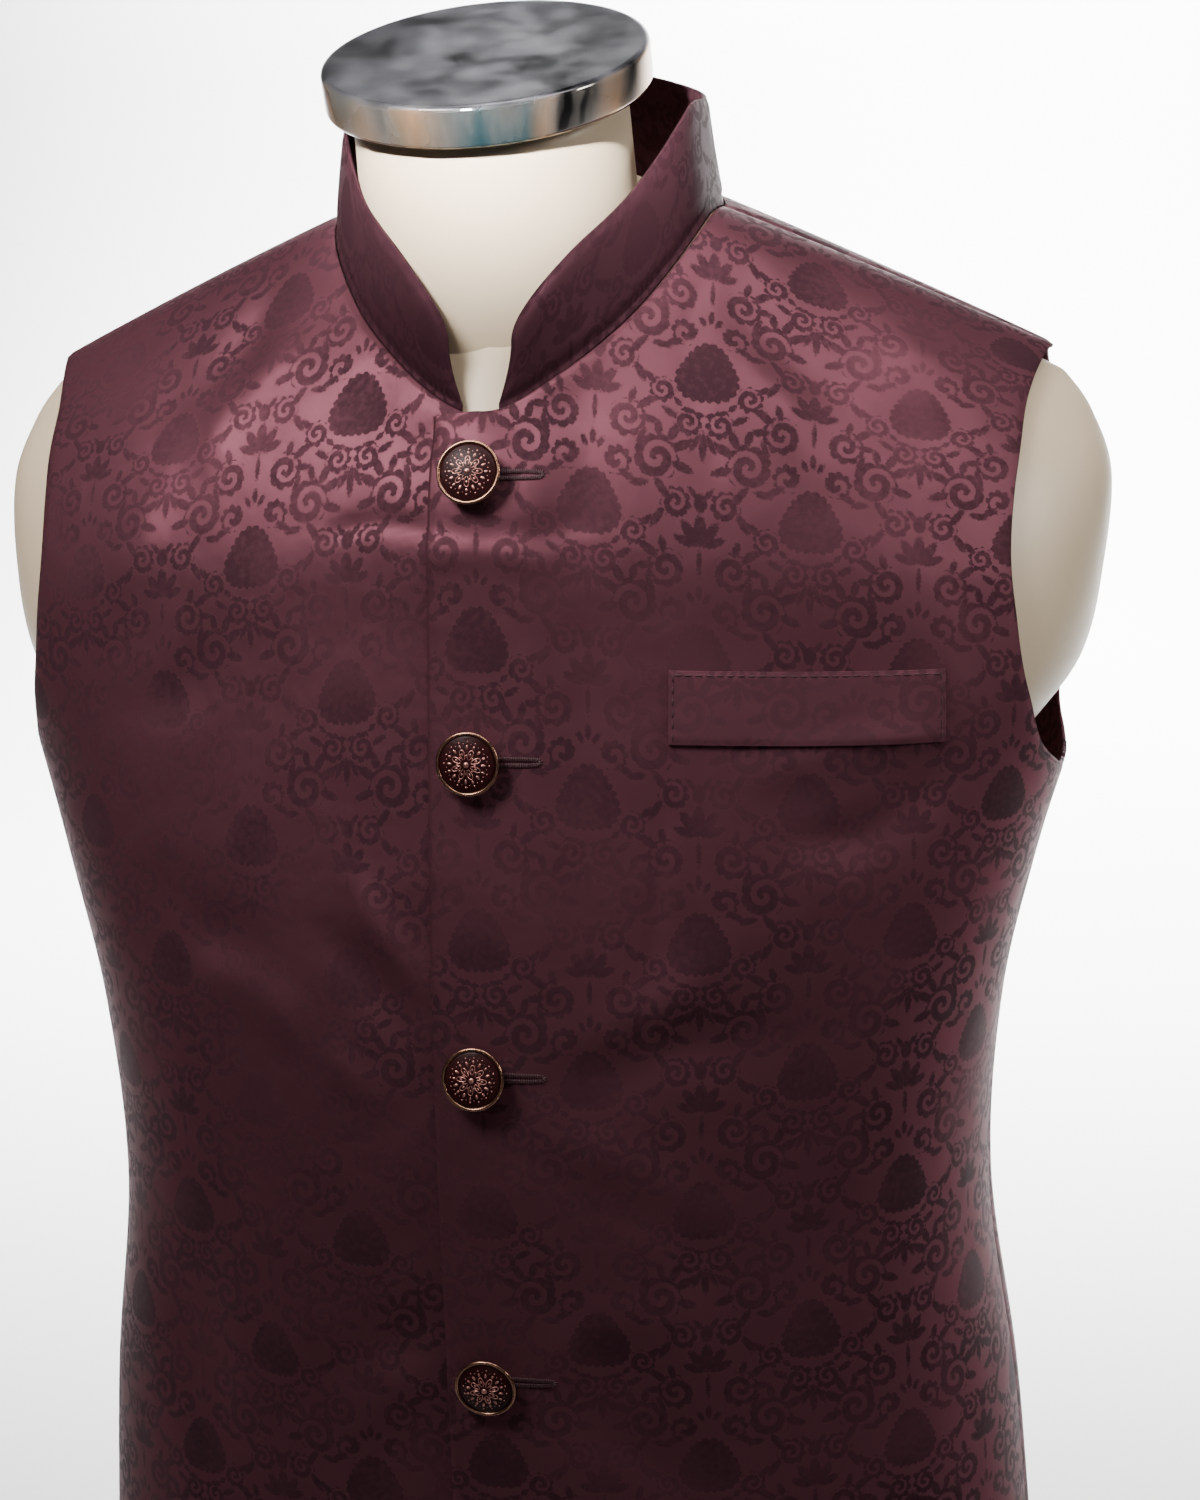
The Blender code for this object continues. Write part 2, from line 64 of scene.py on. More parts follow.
def place_camera():
    """The camera looks from VIEW_DISTANCE at VIEW_TARGET; its roll leans the picture."""
    forward = np.array(
        [
            -np.sin(VIEW_TURN) * np.cos(VIEW_RISE),
            np.cos(VIEW_TURN) * np.cos(VIEW_RISE),
            -np.sin(VIEW_RISE),
        ]
    )
    level = np.array([np.cos(VIEW_TURN), np.sin(VIEW_TURN), 0.0])
    above = np.cross(level, forward)
    across = np.cos(VIEW_ROLL) * level - np.sin(VIEW_ROLL) * above
    up = np.cross(across, forward)
    data = bpy.data.cameras.new("view")
    data.sensor_fit = "VERTICAL"
    data.sensor_height = SENSOR
    data.lens = SENSOR * VIEW_FOCAL_SHARE
    data.clip_start = NEAR_CLIP
    camera = bpy.data.objects.new("view", data)
    turn = Matrix(np.stack([across, up, -forward], axis=1).tolist()).to_4x4()
    place = Vector((VIEW_TARGET - forward * VIEW_DISTANCE).tolist())
    camera.matrix_world = Matrix.Translation(place) @ turn
    bpy.context.scene.collection.objects.link(camera)
    bpy.context.scene.camera = camera


place_camera()


# ---- The dress form --------------------------------------------------------------------------
# A limbless counter form: one smooth moulded shell with rounded shoulder caps and a plain neck,
# sprayed in a satin cream. It stands on its own flat base.

CLEARANCE = 0.0032  # least room between the form and the inside of the cloth
WALL = 0.0018  # cloth with its interlining
LEVEL_COLUMNS = (
    "middle_z", "side_z", "half", "front", "back", "middle_y", "side_y", "square",
    "ease_side", "ease_front", "ease_back", "nape",
)
LEVELS = (
    (0.000, 0.000, 0.165, 0.094, 0.100, -0.002, -0.002, 2.35, 0.014, 0.010, 0.010, 0.000),
    (0.050, 0.050, 0.174, 0.100, 0.110, -0.002, -0.002, 2.35, 0.014, 0.010, 0.010, 0.000),
    (0.130, 0.130, 0.176, 0.101, 0.110, -0.002, -0.002, 2.35, 0.010, 0.008, 0.008, 0.000),
    (0.210, 0.210, 0.172, 0.100, 0.102, -0.002, -0.002, 2.35, 0.008, 0.006, 0.006, 0.000),
    (0.290, 0.290, 0.168, 0.101, 0.092, -0.002, -0.002, 2.35, 0.006, 0.004, 0.006, 0.000),
    (0.370, 0.370, 0.159, 0.104, 0.085, -0.002, -0.002, 2.35, 0.005, 0.002, 0.005, 0.000),
    (0.440, 0.440, 0.163, 0.104, 0.090, -0.002, -0.002, 2.35, 0.005, 0.001, 0.003, 0.000),
    (0.500, 0.495, 0.169, 0.100, 0.100, -0.002, 0.000, 2.35, 0.011, 0.001, 0.001, 0.000),
    (0.548, 0.535, 0.177, 0.095, 0.106, -0.001, 0.004, 2.30, 0.015, 0.001, 0.001, 0.000),
    (0.592, 0.570, 0.201, 0.090, 0.106, 0.000, 0.009, 2.25, 0.004, 0.001, 0.001, 0.000),
    (0.632, 0.605, 0.209, 0.086, 0.100, 0.002, 0.014, 2.20, 0.001, 0.001, 0.001, 0.002),
    (0.675, 0.636, 0.211, 0.071, 0.086, 0.004, 0.019, 2.10, 0.001, 0.001, 0.001, 0.006),
    (0.716, 0.657, 0.204, 0.046, 0.062, 0.006, 0.022, 2.00, 0.001, 0.001, 0.001, 0.012),
    (0.746, 0.669, 0.196, 0.023, 0.032, 0.007, 0.024, 2.00, 0.001, 0.001, 0.001, 0.010),
    (0.754, 0.673, 0.191, 0.000, 0.000, 0.007, 0.024, 2.00, 0.001, 0.001, 0.001, 0.000),
)
RIDGE = len(LEVELS) - 1
SHOULDER_BOW = 1.15
FORM_ROWS = 130
FORM_COLUMNS = 200
FORM_CREAM = (0.80, 0.655, 0.465, 1.0)

NECK_RADIUS = 0.0490
NECK_FOOT_RADIUS = 0.0530
NECK_FOOT = np.array([-0.002, 0.000, 0.620])
NECK_TOP = np.array([-0.0065, -0.0175, 0.776])
NECK_COLUMNS = 96
CAP_TILT = np.radians(19.0)


def hermite(places, values, at, last_slope=None):
    """Smooth curve through table rows: a cubic on each interval, slopes from the neighbours."""
    places = np.asarray(places, float)
    values = np.asarray(values, float)
    steps = np.diff(places)
    rises = np.diff(values) / steps
    slopes = np.empty_like(values)
    slopes[1:-1] = (rises[:-1] * steps[1:] + rises[1:] * steps[:-1]) / (steps[:-1] + steps[1:])
    slopes[0] = rises[0]
    slopes[-1] = rises[-1] if last_slope is None else last_slope
    index = np.clip(np.searchsorted(places, at, side="right") - 1, 0, len(steps) - 1)
    share = (at - places[index]) / steps[index]
    turn = share * share * (3.0 - 2.0 * share)
    start = share * (1.0 - share) ** 2
    end = share * share * (share - 1.0)
    bend = start * slopes[index] + end * slopes[index + 1]
    return values[index] + (values[index + 1] - values[index]) * turn + bend * steps[index]


def level_value(column, level):
    """One named column of LEVELS, read smoothly between its rows."""
    values = [row[LEVEL_COLUMNS.index(column)] for row in LEVELS]
    last_slope = 0.0 if column in ("middle_z", "side_z") else None
    return hermite(np.arange(len(values)), values, level, last_slope)


def level_point(u, level, side, ease):
    """Point on the form (ease 0) or the jacket (ease 1); side is -1 in front and 1 behind.

    Each level is half a superellipse: sideways half * sin(a)^p and depth * cos(a)^p with
    p = 2 / square. Its height goes from middle_z to side_z along the breadth.
    """
    room = ease * (CLEARANCE + WALL)
    half = level_value("half", level) + ease * level_value("ease_side", level) + room
    name = "front" if side < 0 else "back"
    depth = level_value(name, level) + ease * level_value("ease_" + name, level)
    upper = np.clip((level - (RIDGE - 3)) / 3, 0.0, 1.0)
    depth = depth + room * (1.0 - upper) + room * np.sqrt(np.clip(1.0 - upper, 0.0, 1.0)) * upper
    power = 2.0 / level_value("square", level)
    angle = np.abs(u) * np.pi / 2
    breadth = np.sin(angle) ** power
    x = np.sign(u) * half * breadth
    middle_y = level_value("middle_y", level)
    line_y = middle_y + (level_value("side_y", level) - middle_y) * breadth
    y = line_y + side * depth * np.clip(np.cos(angle), 0.0, 1.0) ** power
    middle_z = level_value("middle_z", level)
    side_z = level_value("side_z", level)
    z = middle_z + (side_z - middle_z) * breadth**SHOULDER_BOW + room * upper * 1.1
    if side > 0:
        z = z + level_value("nape", level) * (1.0 - breadth) ** 1.5
    return np.stack([x, y, z], axis=-1)


def smoothstep(low, high, value):
    """0 below low, 1 above high, and a smooth S between."""
    share = np.clip((value - low) / (high - low), 0.0, 1.0)
    return share * share * (3.0 - 2.0 * share)


def grid_faces(rows, columns, ring=False):
    """Corner numbers of a grid's quads; ring joins the last column to the first.

    They face out where rows run up and columns run to the viewer's right.
    """
    index = np.arange(rows * columns).reshape(rows, columns)
    after = np.roll(index, -1, axis=1)
    corners = np.stack([index[:-1], after[:-1], after[1:], index[1:]], axis=-1)
    if not ring:
        corners = corners[:, :-1]
    return corners.reshape(-1, 4)


def mesh_of(name, points, faces):
    mesh = bpy.data.meshes.new(name)
    mesh.from_pydata(points.reshape(-1, 3).tolist(), [], faces.tolist())
    return mesh


def rings_mesh(name, parts):
    """One closed mesh from grids of points, each joined round and at its poles."""
    starts = np.cumsum([0] + [part.shape[0] * part.shape[1] for part in parts])
    faces = [start + grid_faces(*part.shape[:2], ring=True) for start, part in zip(starts, parts)]
    points = np.concatenate([part.reshape(-1, 3) for part in parts])
    return closed_up(mesh_of(name, points, np.concatenate(faces)))


def closed_up(mesh):
    """Merges the doubled points of poles and seams, and drops the faces that this empties."""
    work = bmesh.new()
    work.from_mesh(mesh)
    bmesh.ops.remove_doubles(work, verts=work.verts, dist=1e-6)
    bmesh.ops.dissolve_degenerate(work, edges=work.edges, dist=1e-7)
    bmesh.ops.recalc_face_normals(work, faces=work.faces)
    work.to_mesh(mesh)
    work.free()
    return mesh


def shown(mesh, finish):
    """Links the mesh as a smooth-shaded object of its own."""
    mesh.shade_smooth()
    mesh.materials.append(finish)
    made = bpy.data.objects.new(mesh.name, mesh)
    bpy.context.scene.collection.objects.link(made)
    return made


def put(mesh, finish):
    """Links the mesh as a piece that rides on the root."""
    made = shown(mesh, finish)
    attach(made, "root")
    return made


def turned_frame(points, place, tilt):
    """Points given about a vertical axis, tilted forward about X and moved to place."""
    turn = np.array(Matrix.Rotation(tilt, 3, "X"))
    return points @ turn.T + place


def form_mesh():
    """The torso: a ring for each level, front half then back half, closed by a flat base."""
    levels = np.linspace(0.0, 1.0, FORM_ROWS)[:, None] ** 0.9 * RIDGE
    steps = np.linspace(-1.0, 1.0, FORM_COLUMNS // 2 + 1)[None, :]
    front = level_point(steps, levels + 0.0 * steps, -1, 0.0)
    back = level_point(steps, levels + 0.0 * steps, 1, 0.0)[:, ::-1]
    rings = np.concatenate([front[:, :-1], back[:, :-1]], axis=1)
    middle = rings[0].mean(axis=0)
    base = middle + (rings[0] - middle) * np.array([0.0, 0.6, 0.985])[:, None, None]
    return rings_mesh("form_shell", [np.concatenate([base, rings])])


def neck_mesh():
    """The neck: straight lines from a level foot circle to a top circle tilted like the cap."""
    angle = np.linspace(0.0, 2 * np.pi, NECK_COLUMNS + 1)[:-1]
    circle = np.stack([np.cos(angle), np.sin(angle), 0.0 * angle], axis=-1)
    foot = circle * NECK_FOOT_RADIUS + NECK_FOOT
    top = turned_frame(circle * NECK_RADIUS, NECK_TOP, CAP_TILT)
    share = np.linspace(0.0, 1.0, 24)[:, None, None]
    column = foot + (top - foot) * share
    lid = NECK_TOP + (top - NECK_TOP) * np.array([0.9, 0.0])[:, None, None]
    under = NECK_FOOT + (foot - NECK_FOOT) * np.array([0.0, 0.9])[:, None, None]
    return rings_mesh("form_neck", [np.concatenate([under, column, lid])])


def feed(tree, node, inputs):
    """Fills a node's inputs, by name or number, each from a socket or with a value."""
    for name, source in inputs.items():
        if isinstance(source, bpy.types.NodeSocket):
            tree.links.new(source, node.inputs[name])
        else:
            node.inputs[name].default_value = source


def add_node(tree, kind, inputs, **settings):
    """A new node of this kind with its settings and its inputs filled."""
    node = tree.nodes.new("ShaderNode" + kind)
    for name, value in settings.items():
        setattr(node, name, value)
    feed(tree, node, inputs)
    return node


def new_material(name):
    """A material with a Principled shader: (material, its node tree, the shader)."""
    made = bpy.data.materials.new(name)
    made.use_nodes = True
    return made, made.node_tree, made.node_tree.nodes["Principled BSDF"]


def noise(tree, scale, detail=3.0, place=None):
    """A Noise texture on the object's own coordinates, or on place."""
    if place is None:
        place = add_node(tree, "TexCoord", {}).outputs["Object"]
    inputs = {"Scale": scale, "Detail": detail, "Vector": place}
    return add_node(tree, "TexNoise", inputs).outputs["Fac"]


def maths(tree):
    """op(kind, terms...) makes one Math node; its terms are sockets or numbers."""
    return lambda kind, *terms: add_node(
        tree, "Math", dict(enumerate(terms)), operation=kind
    ).outputs[0]


def between(tree, low, high, amount):
    """A number from low to high as amount goes from 0 to 1."""
    inputs = {"To Min": low, "To Max": high, "Value": amount}
    return add_node(tree, "MapRange", inputs).outputs["Result"]


def ramp(tree, low, high, value):
    """0 where value is at low, 1 where it is at high, and level beyond both."""
    inputs = {"From Min": low, "From Max": high, "Value": value}
    return add_node(tree, "MapRange", inputs).outputs["Result"]


def blend_colours(tree, first, second, amount):
    """The colour between first and second; each is a colour or a socket."""
    node = add_node(tree, "Mix", {"Factor": amount}, data_type="RGBA")
    ends = [number for number, socket in enumerate(node.inputs) if socket.type == "RGBA"]
    feed(tree, node, dict(zip(ends, (first, second))))
    return next(socket for socket in node.outputs if socket.type == "RGBA")


def darker(colour, shares):
    """A colour with each of its parts taken down to a share."""
    return tuple(part * share for part, share in zip(colour[:3], shares)) + (1.0,)


def bumped(tree, height, strength, distance):
    """The normal that a Bump of height gives."""
    inputs = {"Strength": strength, "Distance": distance, "Height": height}
    return add_node(tree, "Bump", inputs).outputs["Normal"]


def mottled(name, colours, grain, detail, rough, rough_grain):
    """A material that drifts between two colours and between two roughnesses, by noise."""
    made, tree, shader = new_material(name)
    colour = blend_colours(tree, *colours, between(tree, 0.0, 1.0, noise(tree, grain, detail)))
    gloss = between(tree, *rough, noise(tree, rough_grain))
    feed(tree, shader, {"Base Color": colour, "Roughness": gloss})
    return made, tree, shader


def form_finish():
    """Satin cream spray with the faint unevenness and orange peel of a sprayed shell."""
    warm = darker(FORM_CREAM, (0.93, 0.90, 0.86))
    made, tree, shader = mottled("form_cream", (FORM_CREAM, warm), 9.0, 3.0, (0.38, 0.52), 40.0)
    peel = bumped(tree, noise(tree, 420.0, 2.0), 0.10, 0.0006)
    feed(tree, shader, {"Coat Weight": 0.12, "Coat Roughness": 0.3, "Normal": peel})
    return made


cream = form_finish()
form_shell = put(form_mesh(), cream)
form_neck = put(neck_mesh(), cream)
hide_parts("form_torso")
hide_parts("form_torso")


# ---- The neck cap ----------------------------------------------------------------------------
# A spun disc of polished, chromed steel that closes the neck: a plain band with rolled edges
# and a nearly flat top. The top is dull, painted darker as a dim reflection and mottled with
# worn stains; the band carries painted brown and teal streaks, reflections of a shop.

CAP_RADIUS = 0.0585
CAP_THICKNESS = 0.0150
CAP_EDGE = 0.0020
CAP_DISH = 0.0004
CAP_COLUMNS = 144
CAP_LIFT = 0.0003
CAP_BAND = (0.30, 0.29, 0.28, 1.0)
# Painted reflections: this brown and this teal stand in for a shop reflected in the band's chrome.
CAP_BROWN_REFLECTION = (0.42, 0.22, 0.10, 1.0)
CAP_TEAL_REFLECTION = (0.02, 0.05, 0.06, 1.0)
# Painted reflection and wear: the top's dark colours stand for the dim surroundings it reflects,
# mottled by worn stains.
CAP_STAIN_AND_DARK_REFLECTION = (0.03, 0.03, 0.035, 1.0)
CAP_TOP_REFLECTION = (0.12, 0.12, 0.135, 1.0)


def turned(profile, steps):
    """A turned closed shape: profile rows (radius, height) carried round the vertical axis."""
    profile = np.asarray(profile, float)
    angle = np.linspace(0.0, 2 * np.pi, steps + 1)[None, :-1]
    radius = profile[:, 0:1]
    height = profile[:, 1:2] + 0.0 * angle
    return np.stack([radius * np.cos(angle), radius * np.sin(angle), height], axis=-1)


def rounded_corner(radius, height, size, start):
    """A quarter round about (radius, height), from the angle start, in degrees."""
    angle = np.radians(start + np.linspace(0.0, 90.0, 7))
    return np.stack([radius + size * np.cos(angle), height + size * np.sin(angle)], axis=-1)


def cap_mesh():
    """Underside, rolled lower edge, band, rolled upper edge, and a top dished by a hair."""
    inner = CAP_RADIUS - CAP_EDGE
    low = CAP_LIFT
    high = CAP_LIFT + CAP_THICKNESS
    radii = np.linspace(inner - 0.0006, 0.0, 14)
    top = np.stack([radii, high - CAP_DISH * (1.0 - (radii / inner) ** 2)], axis=-1)
    profile = np.concatenate(
        [
            [(0.0, low), (inner * 0.6, low)],
            rounded_corner(inner, low + CAP_EDGE, CAP_EDGE, -90.0),
            rounded_corner(inner, high - CAP_EDGE, CAP_EDGE, 0.0),
            top,
        ]
    )
    points = turned_frame(turned(profile, CAP_COLUMNS), NECK_TOP, CAP_TILT)
    return rings_mesh("neck_cap", [points])


def chrome_finish():
    """Chrome: painted reflection streaks on the band, and a top painted darker as dim reflection,
    stained.

    The top is where the height along the tilted axis is within a millimetre of its end.
    """
    made, tree, shader = new_material("chrome")
    op = maths(tree)
    axis = np.array([0.0, -np.sin(CAP_TILT), np.cos(CAP_TILT)])
    place = add_node(tree, "TexCoord", {}).outputs["Object"]
    rise = add_node(tree, "VectorMath", {0: place, 1: axis}, operation="DOT_PRODUCT")
    top_height = float(NECK_TOP @ axis) + CAP_LIFT + CAP_THICKNESS
    on_top = ramp(tree, top_height - 0.0012, top_height - 0.0006, rise.outputs["Value"])
    upright = add_node(tree, "Mapping", {"Scale": (1.0, 1.0, 0.08), "Vector": place}).outputs[0]
    # Painted reflections: upright brown and teal streaks on the band, made less metallic so their
    # colour shows.
    reflection_streaks = between(tree, -1.2, 2.2, noise(tree, 55.0, 3.0, upright))
    reflection_tint = between(tree, -1.2, 2.2, noise(tree, 24.0, 1.0, upright))
    reflection_colour = blend_colours(tree, CAP_BROWN_REFLECTION, CAP_TEAL_REFLECTION, reflection_tint)
    band = blend_colours(tree, CAP_BAND, reflection_colour, reflection_streaks)
    # Painted reflection and wear: the top is painted darker as a dim reflection, mottled with worn
    # stains.
    stain_and_reflection = between(tree, -0.8, 1.8, noise(tree, 60.0, 5.0))
    top = blend_colours(tree, CAP_STAIN_AND_DARK_REFLECTION, CAP_TOP_REFLECTION, stain_and_reflection)
    scuffs = between(tree, 0.02, 0.14, noise(tree, 90.0, 6.0))
    looks = {
        "Base Color": blend_colours(tree, band, top, on_top),
        "Metallic": op("MULTIPLY_ADD", reflection_streaks, -0.35, 1.0),
        "Roughness": op("MULTIPLY_ADD", on_top, 0.10, scuffs),
        "Normal": bumped(tree, noise(tree, 160.0, 3.0), 0.06, 0.0004),
    }
    feed(tree, shader, looks)
    return made


neck_cap = put(cap_mesh(), chrome_finish())
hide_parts("form_neck_cap")


# ---- The fronts and the back -----------------------------------------------------------------
# Three panels of wine satin jacquard on a firm interlining. The left front laps over the right;
# shoulder and side seams are plain, and the armholes, hem and lap are turned to the inside.

SEAM_GAP = 0.0003
SIDE_END, RIDGE_END = 0.9999, RIDGE - 0.0005  # u and level that stop a hair short of a seam
FRONT_INNER = (  # share of the way up, u, level: centre line, pit of the neck, neckline
    (0.00, 0.000, 1.00), (0.30, 0.000, 4.00), (0.52, 0.000, 7.00), (0.60, 0.000, 8.10),
    (0.66, 0.000, 8.95), (0.74, 0.000, 10.10), (0.81, -0.041, 10.85), (0.84, 0.000, 10.86),
    (0.86, 0.024, 10.93), (0.89, 0.085, 11.31), (0.93, 0.165, 12.00), (0.97, 0.220, 13.00),
    (1.00, 0.238, 14.00),
)
FRONT_OUTER = (  # the side seam, then the armhole
    (0.00, 1.000, 1.00), (0.30, 1.000, 4.00), (0.52, 1.000, 7.00), (0.595, 1.000, 7.93),
    (0.615, 0.930, 7.97), (0.64, 0.800, 8.22), (0.68, 0.690, 8.80), (0.74, 0.625, 9.70),
    (0.81, 0.612, 10.75), (0.86, 0.640, 11.45), (0.91, 0.690, 12.20), (0.96, 0.765, 13.10),
    (1.00, 0.830, 14.00),
)
BACK_OUTER = (
    (0.00, 1.000, 1.00), (0.30, 1.000, 4.00), (0.52, 1.000, 7.00), (0.595, 1.000, 7.93),
    (0.615, 0.930, 7.97), (0.64, 0.820, 8.20), (0.68, 0.735, 8.80), (0.76, 0.690, 9.90),
    (0.86, 0.690, 11.30), (0.94, 0.740, 12.70), (1.00, 0.830, 14.00),
)
BACK_MIDDLE = (
    (0.00, 0.000, 1.00), (0.30, 0.000, 4.00), (0.52, 0.000, 7.00), (0.60, 0.000, 8.00),
    (0.76, 0.000, 10.00), (0.90, 0.000, 11.65), (1.00, 0.000, 12.75),
)
PIT_SHARE = 0.81
NECK_SIDE_U = 0.238
TIP_U = 0.830
NAPE_LEVEL = 12.75
BACK_NECK_SHARE = 5 / 14
LAP = 0.0157
LAP_LIFT = WALL + 3.5 * SEAM_GAP
LAP_FADE = (0.017, 0.040)
PANEL_ROWS = 210
ROWS_BELOW_PIT = 0.74  # the share of them
FRONT_COLUMNS = 110
BACK_COLUMNS = 190
EDGE_ROLL = 0.0007  # how far a turned edge sinks towards the inside
EDGE_ROLL_WIDTH = 0.0022
CREASE_FADE = 0.016  # creases die out this far from a seam
CREASE_DEPTH = 0.0022  # no trough goes deeper, so that none reaches the form
FRONT_CREASES = (  # from x, z to x, z, width, height: a trough's height is negative
    (-0.004, 0.656, 0.052, 0.684, 0.0120, -0.0022),
    (-0.012, 0.656, -0.046, 0.676, 0.0110, -0.0020),
    (0.080, 0.712, 0.118, 0.672, 0.0085, -0.0021),
    (0.118, 0.672, 0.163, 0.652, 0.0080, -0.0019),
    (0.070, 0.690, 0.112, 0.646, 0.0100, 0.0022),
    (0.128, 0.690, 0.170, 0.668, 0.0080, 0.0016),
    (0.072, 0.716, 0.080, 0.652, 0.0040, -0.0014),
    (-0.052, 0.629, -0.018, 0.6305, 0.0035, -0.0012),
    (-0.016, 0.622, 0.024, 0.6215, 0.0060, 0.0015),
    (-0.012, 0.633, 0.040, 0.6340, 0.0060, -0.0013),
    (0.064, 0.570, 0.061, 0.470, 0.0032, -0.0011),
    (-0.060, 0.492, -0.022, 0.446, 0.0075, -0.0021),
    (-0.044, 0.512, -0.018, 0.472, 0.0060, 0.0019),
    (-0.056, 0.446, -0.034, 0.431, 0.0055, 0.0016),
    (-0.110, 0.470, -0.066, 0.452, 0.0090, 0.0018),
    (-0.130, 0.505, -0.085, 0.480, 0.0110, -0.0018),
    (0.024, 0.452, 0.090, 0.490, 0.0090, 0.0016),
    (0.030, 0.436, 0.120, 0.452, 0.0100, -0.0018),
    (0.026, 0.420, 0.080, 0.392, 0.0080, 0.0015),
    (0.110, 0.520, 0.160, 0.545, 0.0090, -0.0018),
    (0.095, 0.545, 0.150, 0.556, 0.0070, 0.0013),
    (0.095, 0.450, 0.112, 0.340, 0.0180, -0.0020),
    (-0.100, 0.400, -0.112, 0.270, 0.0170, -0.0020),
    (-0.070, 0.385, -0.062, 0.290, 0.0140, 0.0022),
    (0.058, 0.380, 0.066, 0.250, 0.0140, 0.0022),
    (-0.020, 0.345, -0.072, 0.318, 0.0080, -0.0017),
    (-0.020, 0.330, -0.060, 0.288, 0.0075, 0.0016),
    (0.022, 0.338, 0.064, 0.352, 0.0070, 0.0014),
    (0.024, 0.318, 0.072, 0.286, 0.0080, -0.0016),
    (-0.140, 0.560, -0.095, 0.590, 0.0100, -0.0017),
    (-0.120, 0.640, -0.150, 0.600, 0.0110, 0.0016),
    (-0.085, 0.705, -0.128, 0.668, 0.0090, -0.0019),
    (-0.070, 0.690, -0.105, 0.652, 0.0090, 0.0018),
    (-0.060, 0.240, -0.075, 0.120, 0.0200, 0.0030),
    (0.070, 0.230, 0.085, 0.110, 0.0200, 0.0030),
    (-0.120, 0.220, -0.128, 0.100, 0.0180, -0.0018),
    (0.020, 0.200, 0.028, 0.090, 0.0160, 0.0024),
)
BACK_CREASES = (
    (-0.150, 0.560, -0.080, 0.600, 0.0100, -0.0018),
    (-0.140, 0.530, -0.060, 0.560, 0.0120, 0.0020),
    (0.146, 0.565, 0.090, 0.596, 0.0090, -0.0018),
    (0.150, 0.540, 0.070, 0.548, 0.0120, 0.0018),
    (-0.060, 0.690, -0.120, 0.655, 0.0110, -0.0018),
    (0.055, 0.695, 0.112, 0.664, 0.0100, -0.0018),
    (-0.050, 0.705, 0.040, 0.700, 0.0070, -0.0014),
    (-0.090, 0.395, 0.010, 0.405, 0.0100, -0.0020),
    (-0.030, 0.430, 0.080, 0.418, 0.0110, 0.0024),
    (0.010, 0.372, 0.120, 0.388, 0.0090, -0.0018),
    (-0.120, 0.440, -0.050, 0.452, 0.0090, 0.0018),
    (-0.070, 0.350, -0.078, 0.130, 0.0220, 0.0032),
    (0.068, 0.340, 0.082, 0.120, 0.0220, 0.0032),
    (0.000, 0.330, 0.004, 0.160, 0.0160, -0.0018),
    (-0.128, 0.300, -0.140, 0.120, 0.0160, -0.0016),
    (0.126, 0.310, 0.136, 0.140, 0.0160, -0.0016),
)
FIRST_BUTTON_Z = 0.648
BUTTON_DROPS = (0.0, 0.096, 0.206, 0.320, 0.435)
BUTTON_CALM = (0.010, 0.024)  # no creases nearer to a button than this, and all beyond


def creases(x, z, table):
    """The height of soft ridges and troughs: a bell across each line that fades to its ends."""
    height = 0.0 * x
    for number, (from_x, from_z, to_x, to_z, width, rise) in enumerate(table):
        along_x, along_z = to_x - from_x, to_z - from_z
        length = np.hypot(along_x, along_z)
        along = ((x - from_x) * along_x + (z - from_z) * along_z) / length**2
        bow = 0.12 * length * np.sin(number * 1.9) * np.sin(np.pi * np.clip(along, 0.0, 1.0))
        across = ((x - from_x) * along_z - (z - from_z) * along_x) / length + bow
        fade = smoothstep(-0.25, 0.35, along) * (1.0 - smoothstep(0.65, 1.25, along))
        uneven = 1.0 + 0.25 * np.sin(7.0 * along + number)
        height = height + rise * uneven * fade * np.exp(-((across / width) ** 2))
    return height


def front_relief(x, z):
    """The fronts' creases, calmed round each button so that its shank still meets the cloth."""
    calm = 1.0 + 0.0 * x
    for drop in BUTTON_DROPS:
        away = np.hypot(x, z - (FIRST_BUTTON_Z - drop))
        calm = calm * smoothstep(*BUTTON_CALM, away)
    relief = creases(x, z, FRONT_CREASES) * calm
    return np.maximum(relief, -CREASE_DEPTH)


def lifted(u, level, side, lift):
    """A point on the jacket's surface moved out along the surface normal by lift."""
    step = 1e-3
    along = level_point(u + step, level, side, 1.0) - level_point(u - step, level, side, 1.0)
    up = level_point(u, np.minimum(level + step, RIDGE), side, 1.0)
    up = up - level_point(u, np.minimum(level + step, RIDGE) - 2 * step, side, 1.0)
    normal = unit(np.cross(along, up) * (-side))
    return level_point(u, level, side, 1.0) + normal * np.asarray(lift)[..., None]


def edge_place(edge, share):
    """(u, level) of a panel's edge at these shares of its way up."""
    places = [row[0] for row in edge]
    u = hermite(places, [row[1] for row in edge], share)
    level = hermite(places, [row[2] for row in edge], share)
    return u, level


def u_of_x(x, level):
    """The u whose sideways place on the jacket's level is x."""
    half = level_value("half", level) + level_value("ease_side", level) + CLEARANCE + WALL
    power = 2.0 / level_value("square", level)
    share = np.clip(np.abs(x) / half, 0.0, 1.0) ** (1.0 / power)
    return np.sign(x) * np.arcsin(share) * 2 / np.pi


def crowded(count, ends=0.55):
    """Shares from 0 to 1 that crowd towards both ends, for the roll of turned edges."""
    even = np.linspace(0.0, 1.0, count)
    return (1.0 - ends) * even + ends * 0.5 * (1.0 - np.cos(np.pi * even))


def panel_rows():
    """Shares up a panel: crowded at hem and shoulder, with the pit of the neck on a row."""
    count = int(PANEL_ROWS * ROWS_BELOW_PIT)
    below = crowded(count, 0.35) * PIT_SHARE
    above = PIT_SHARE + crowded(PANEL_ROWS - count - 1, 0.5) * (1.0 - PIT_SHARE)
    return np.concatenate([below, above[1:]])[:, None]


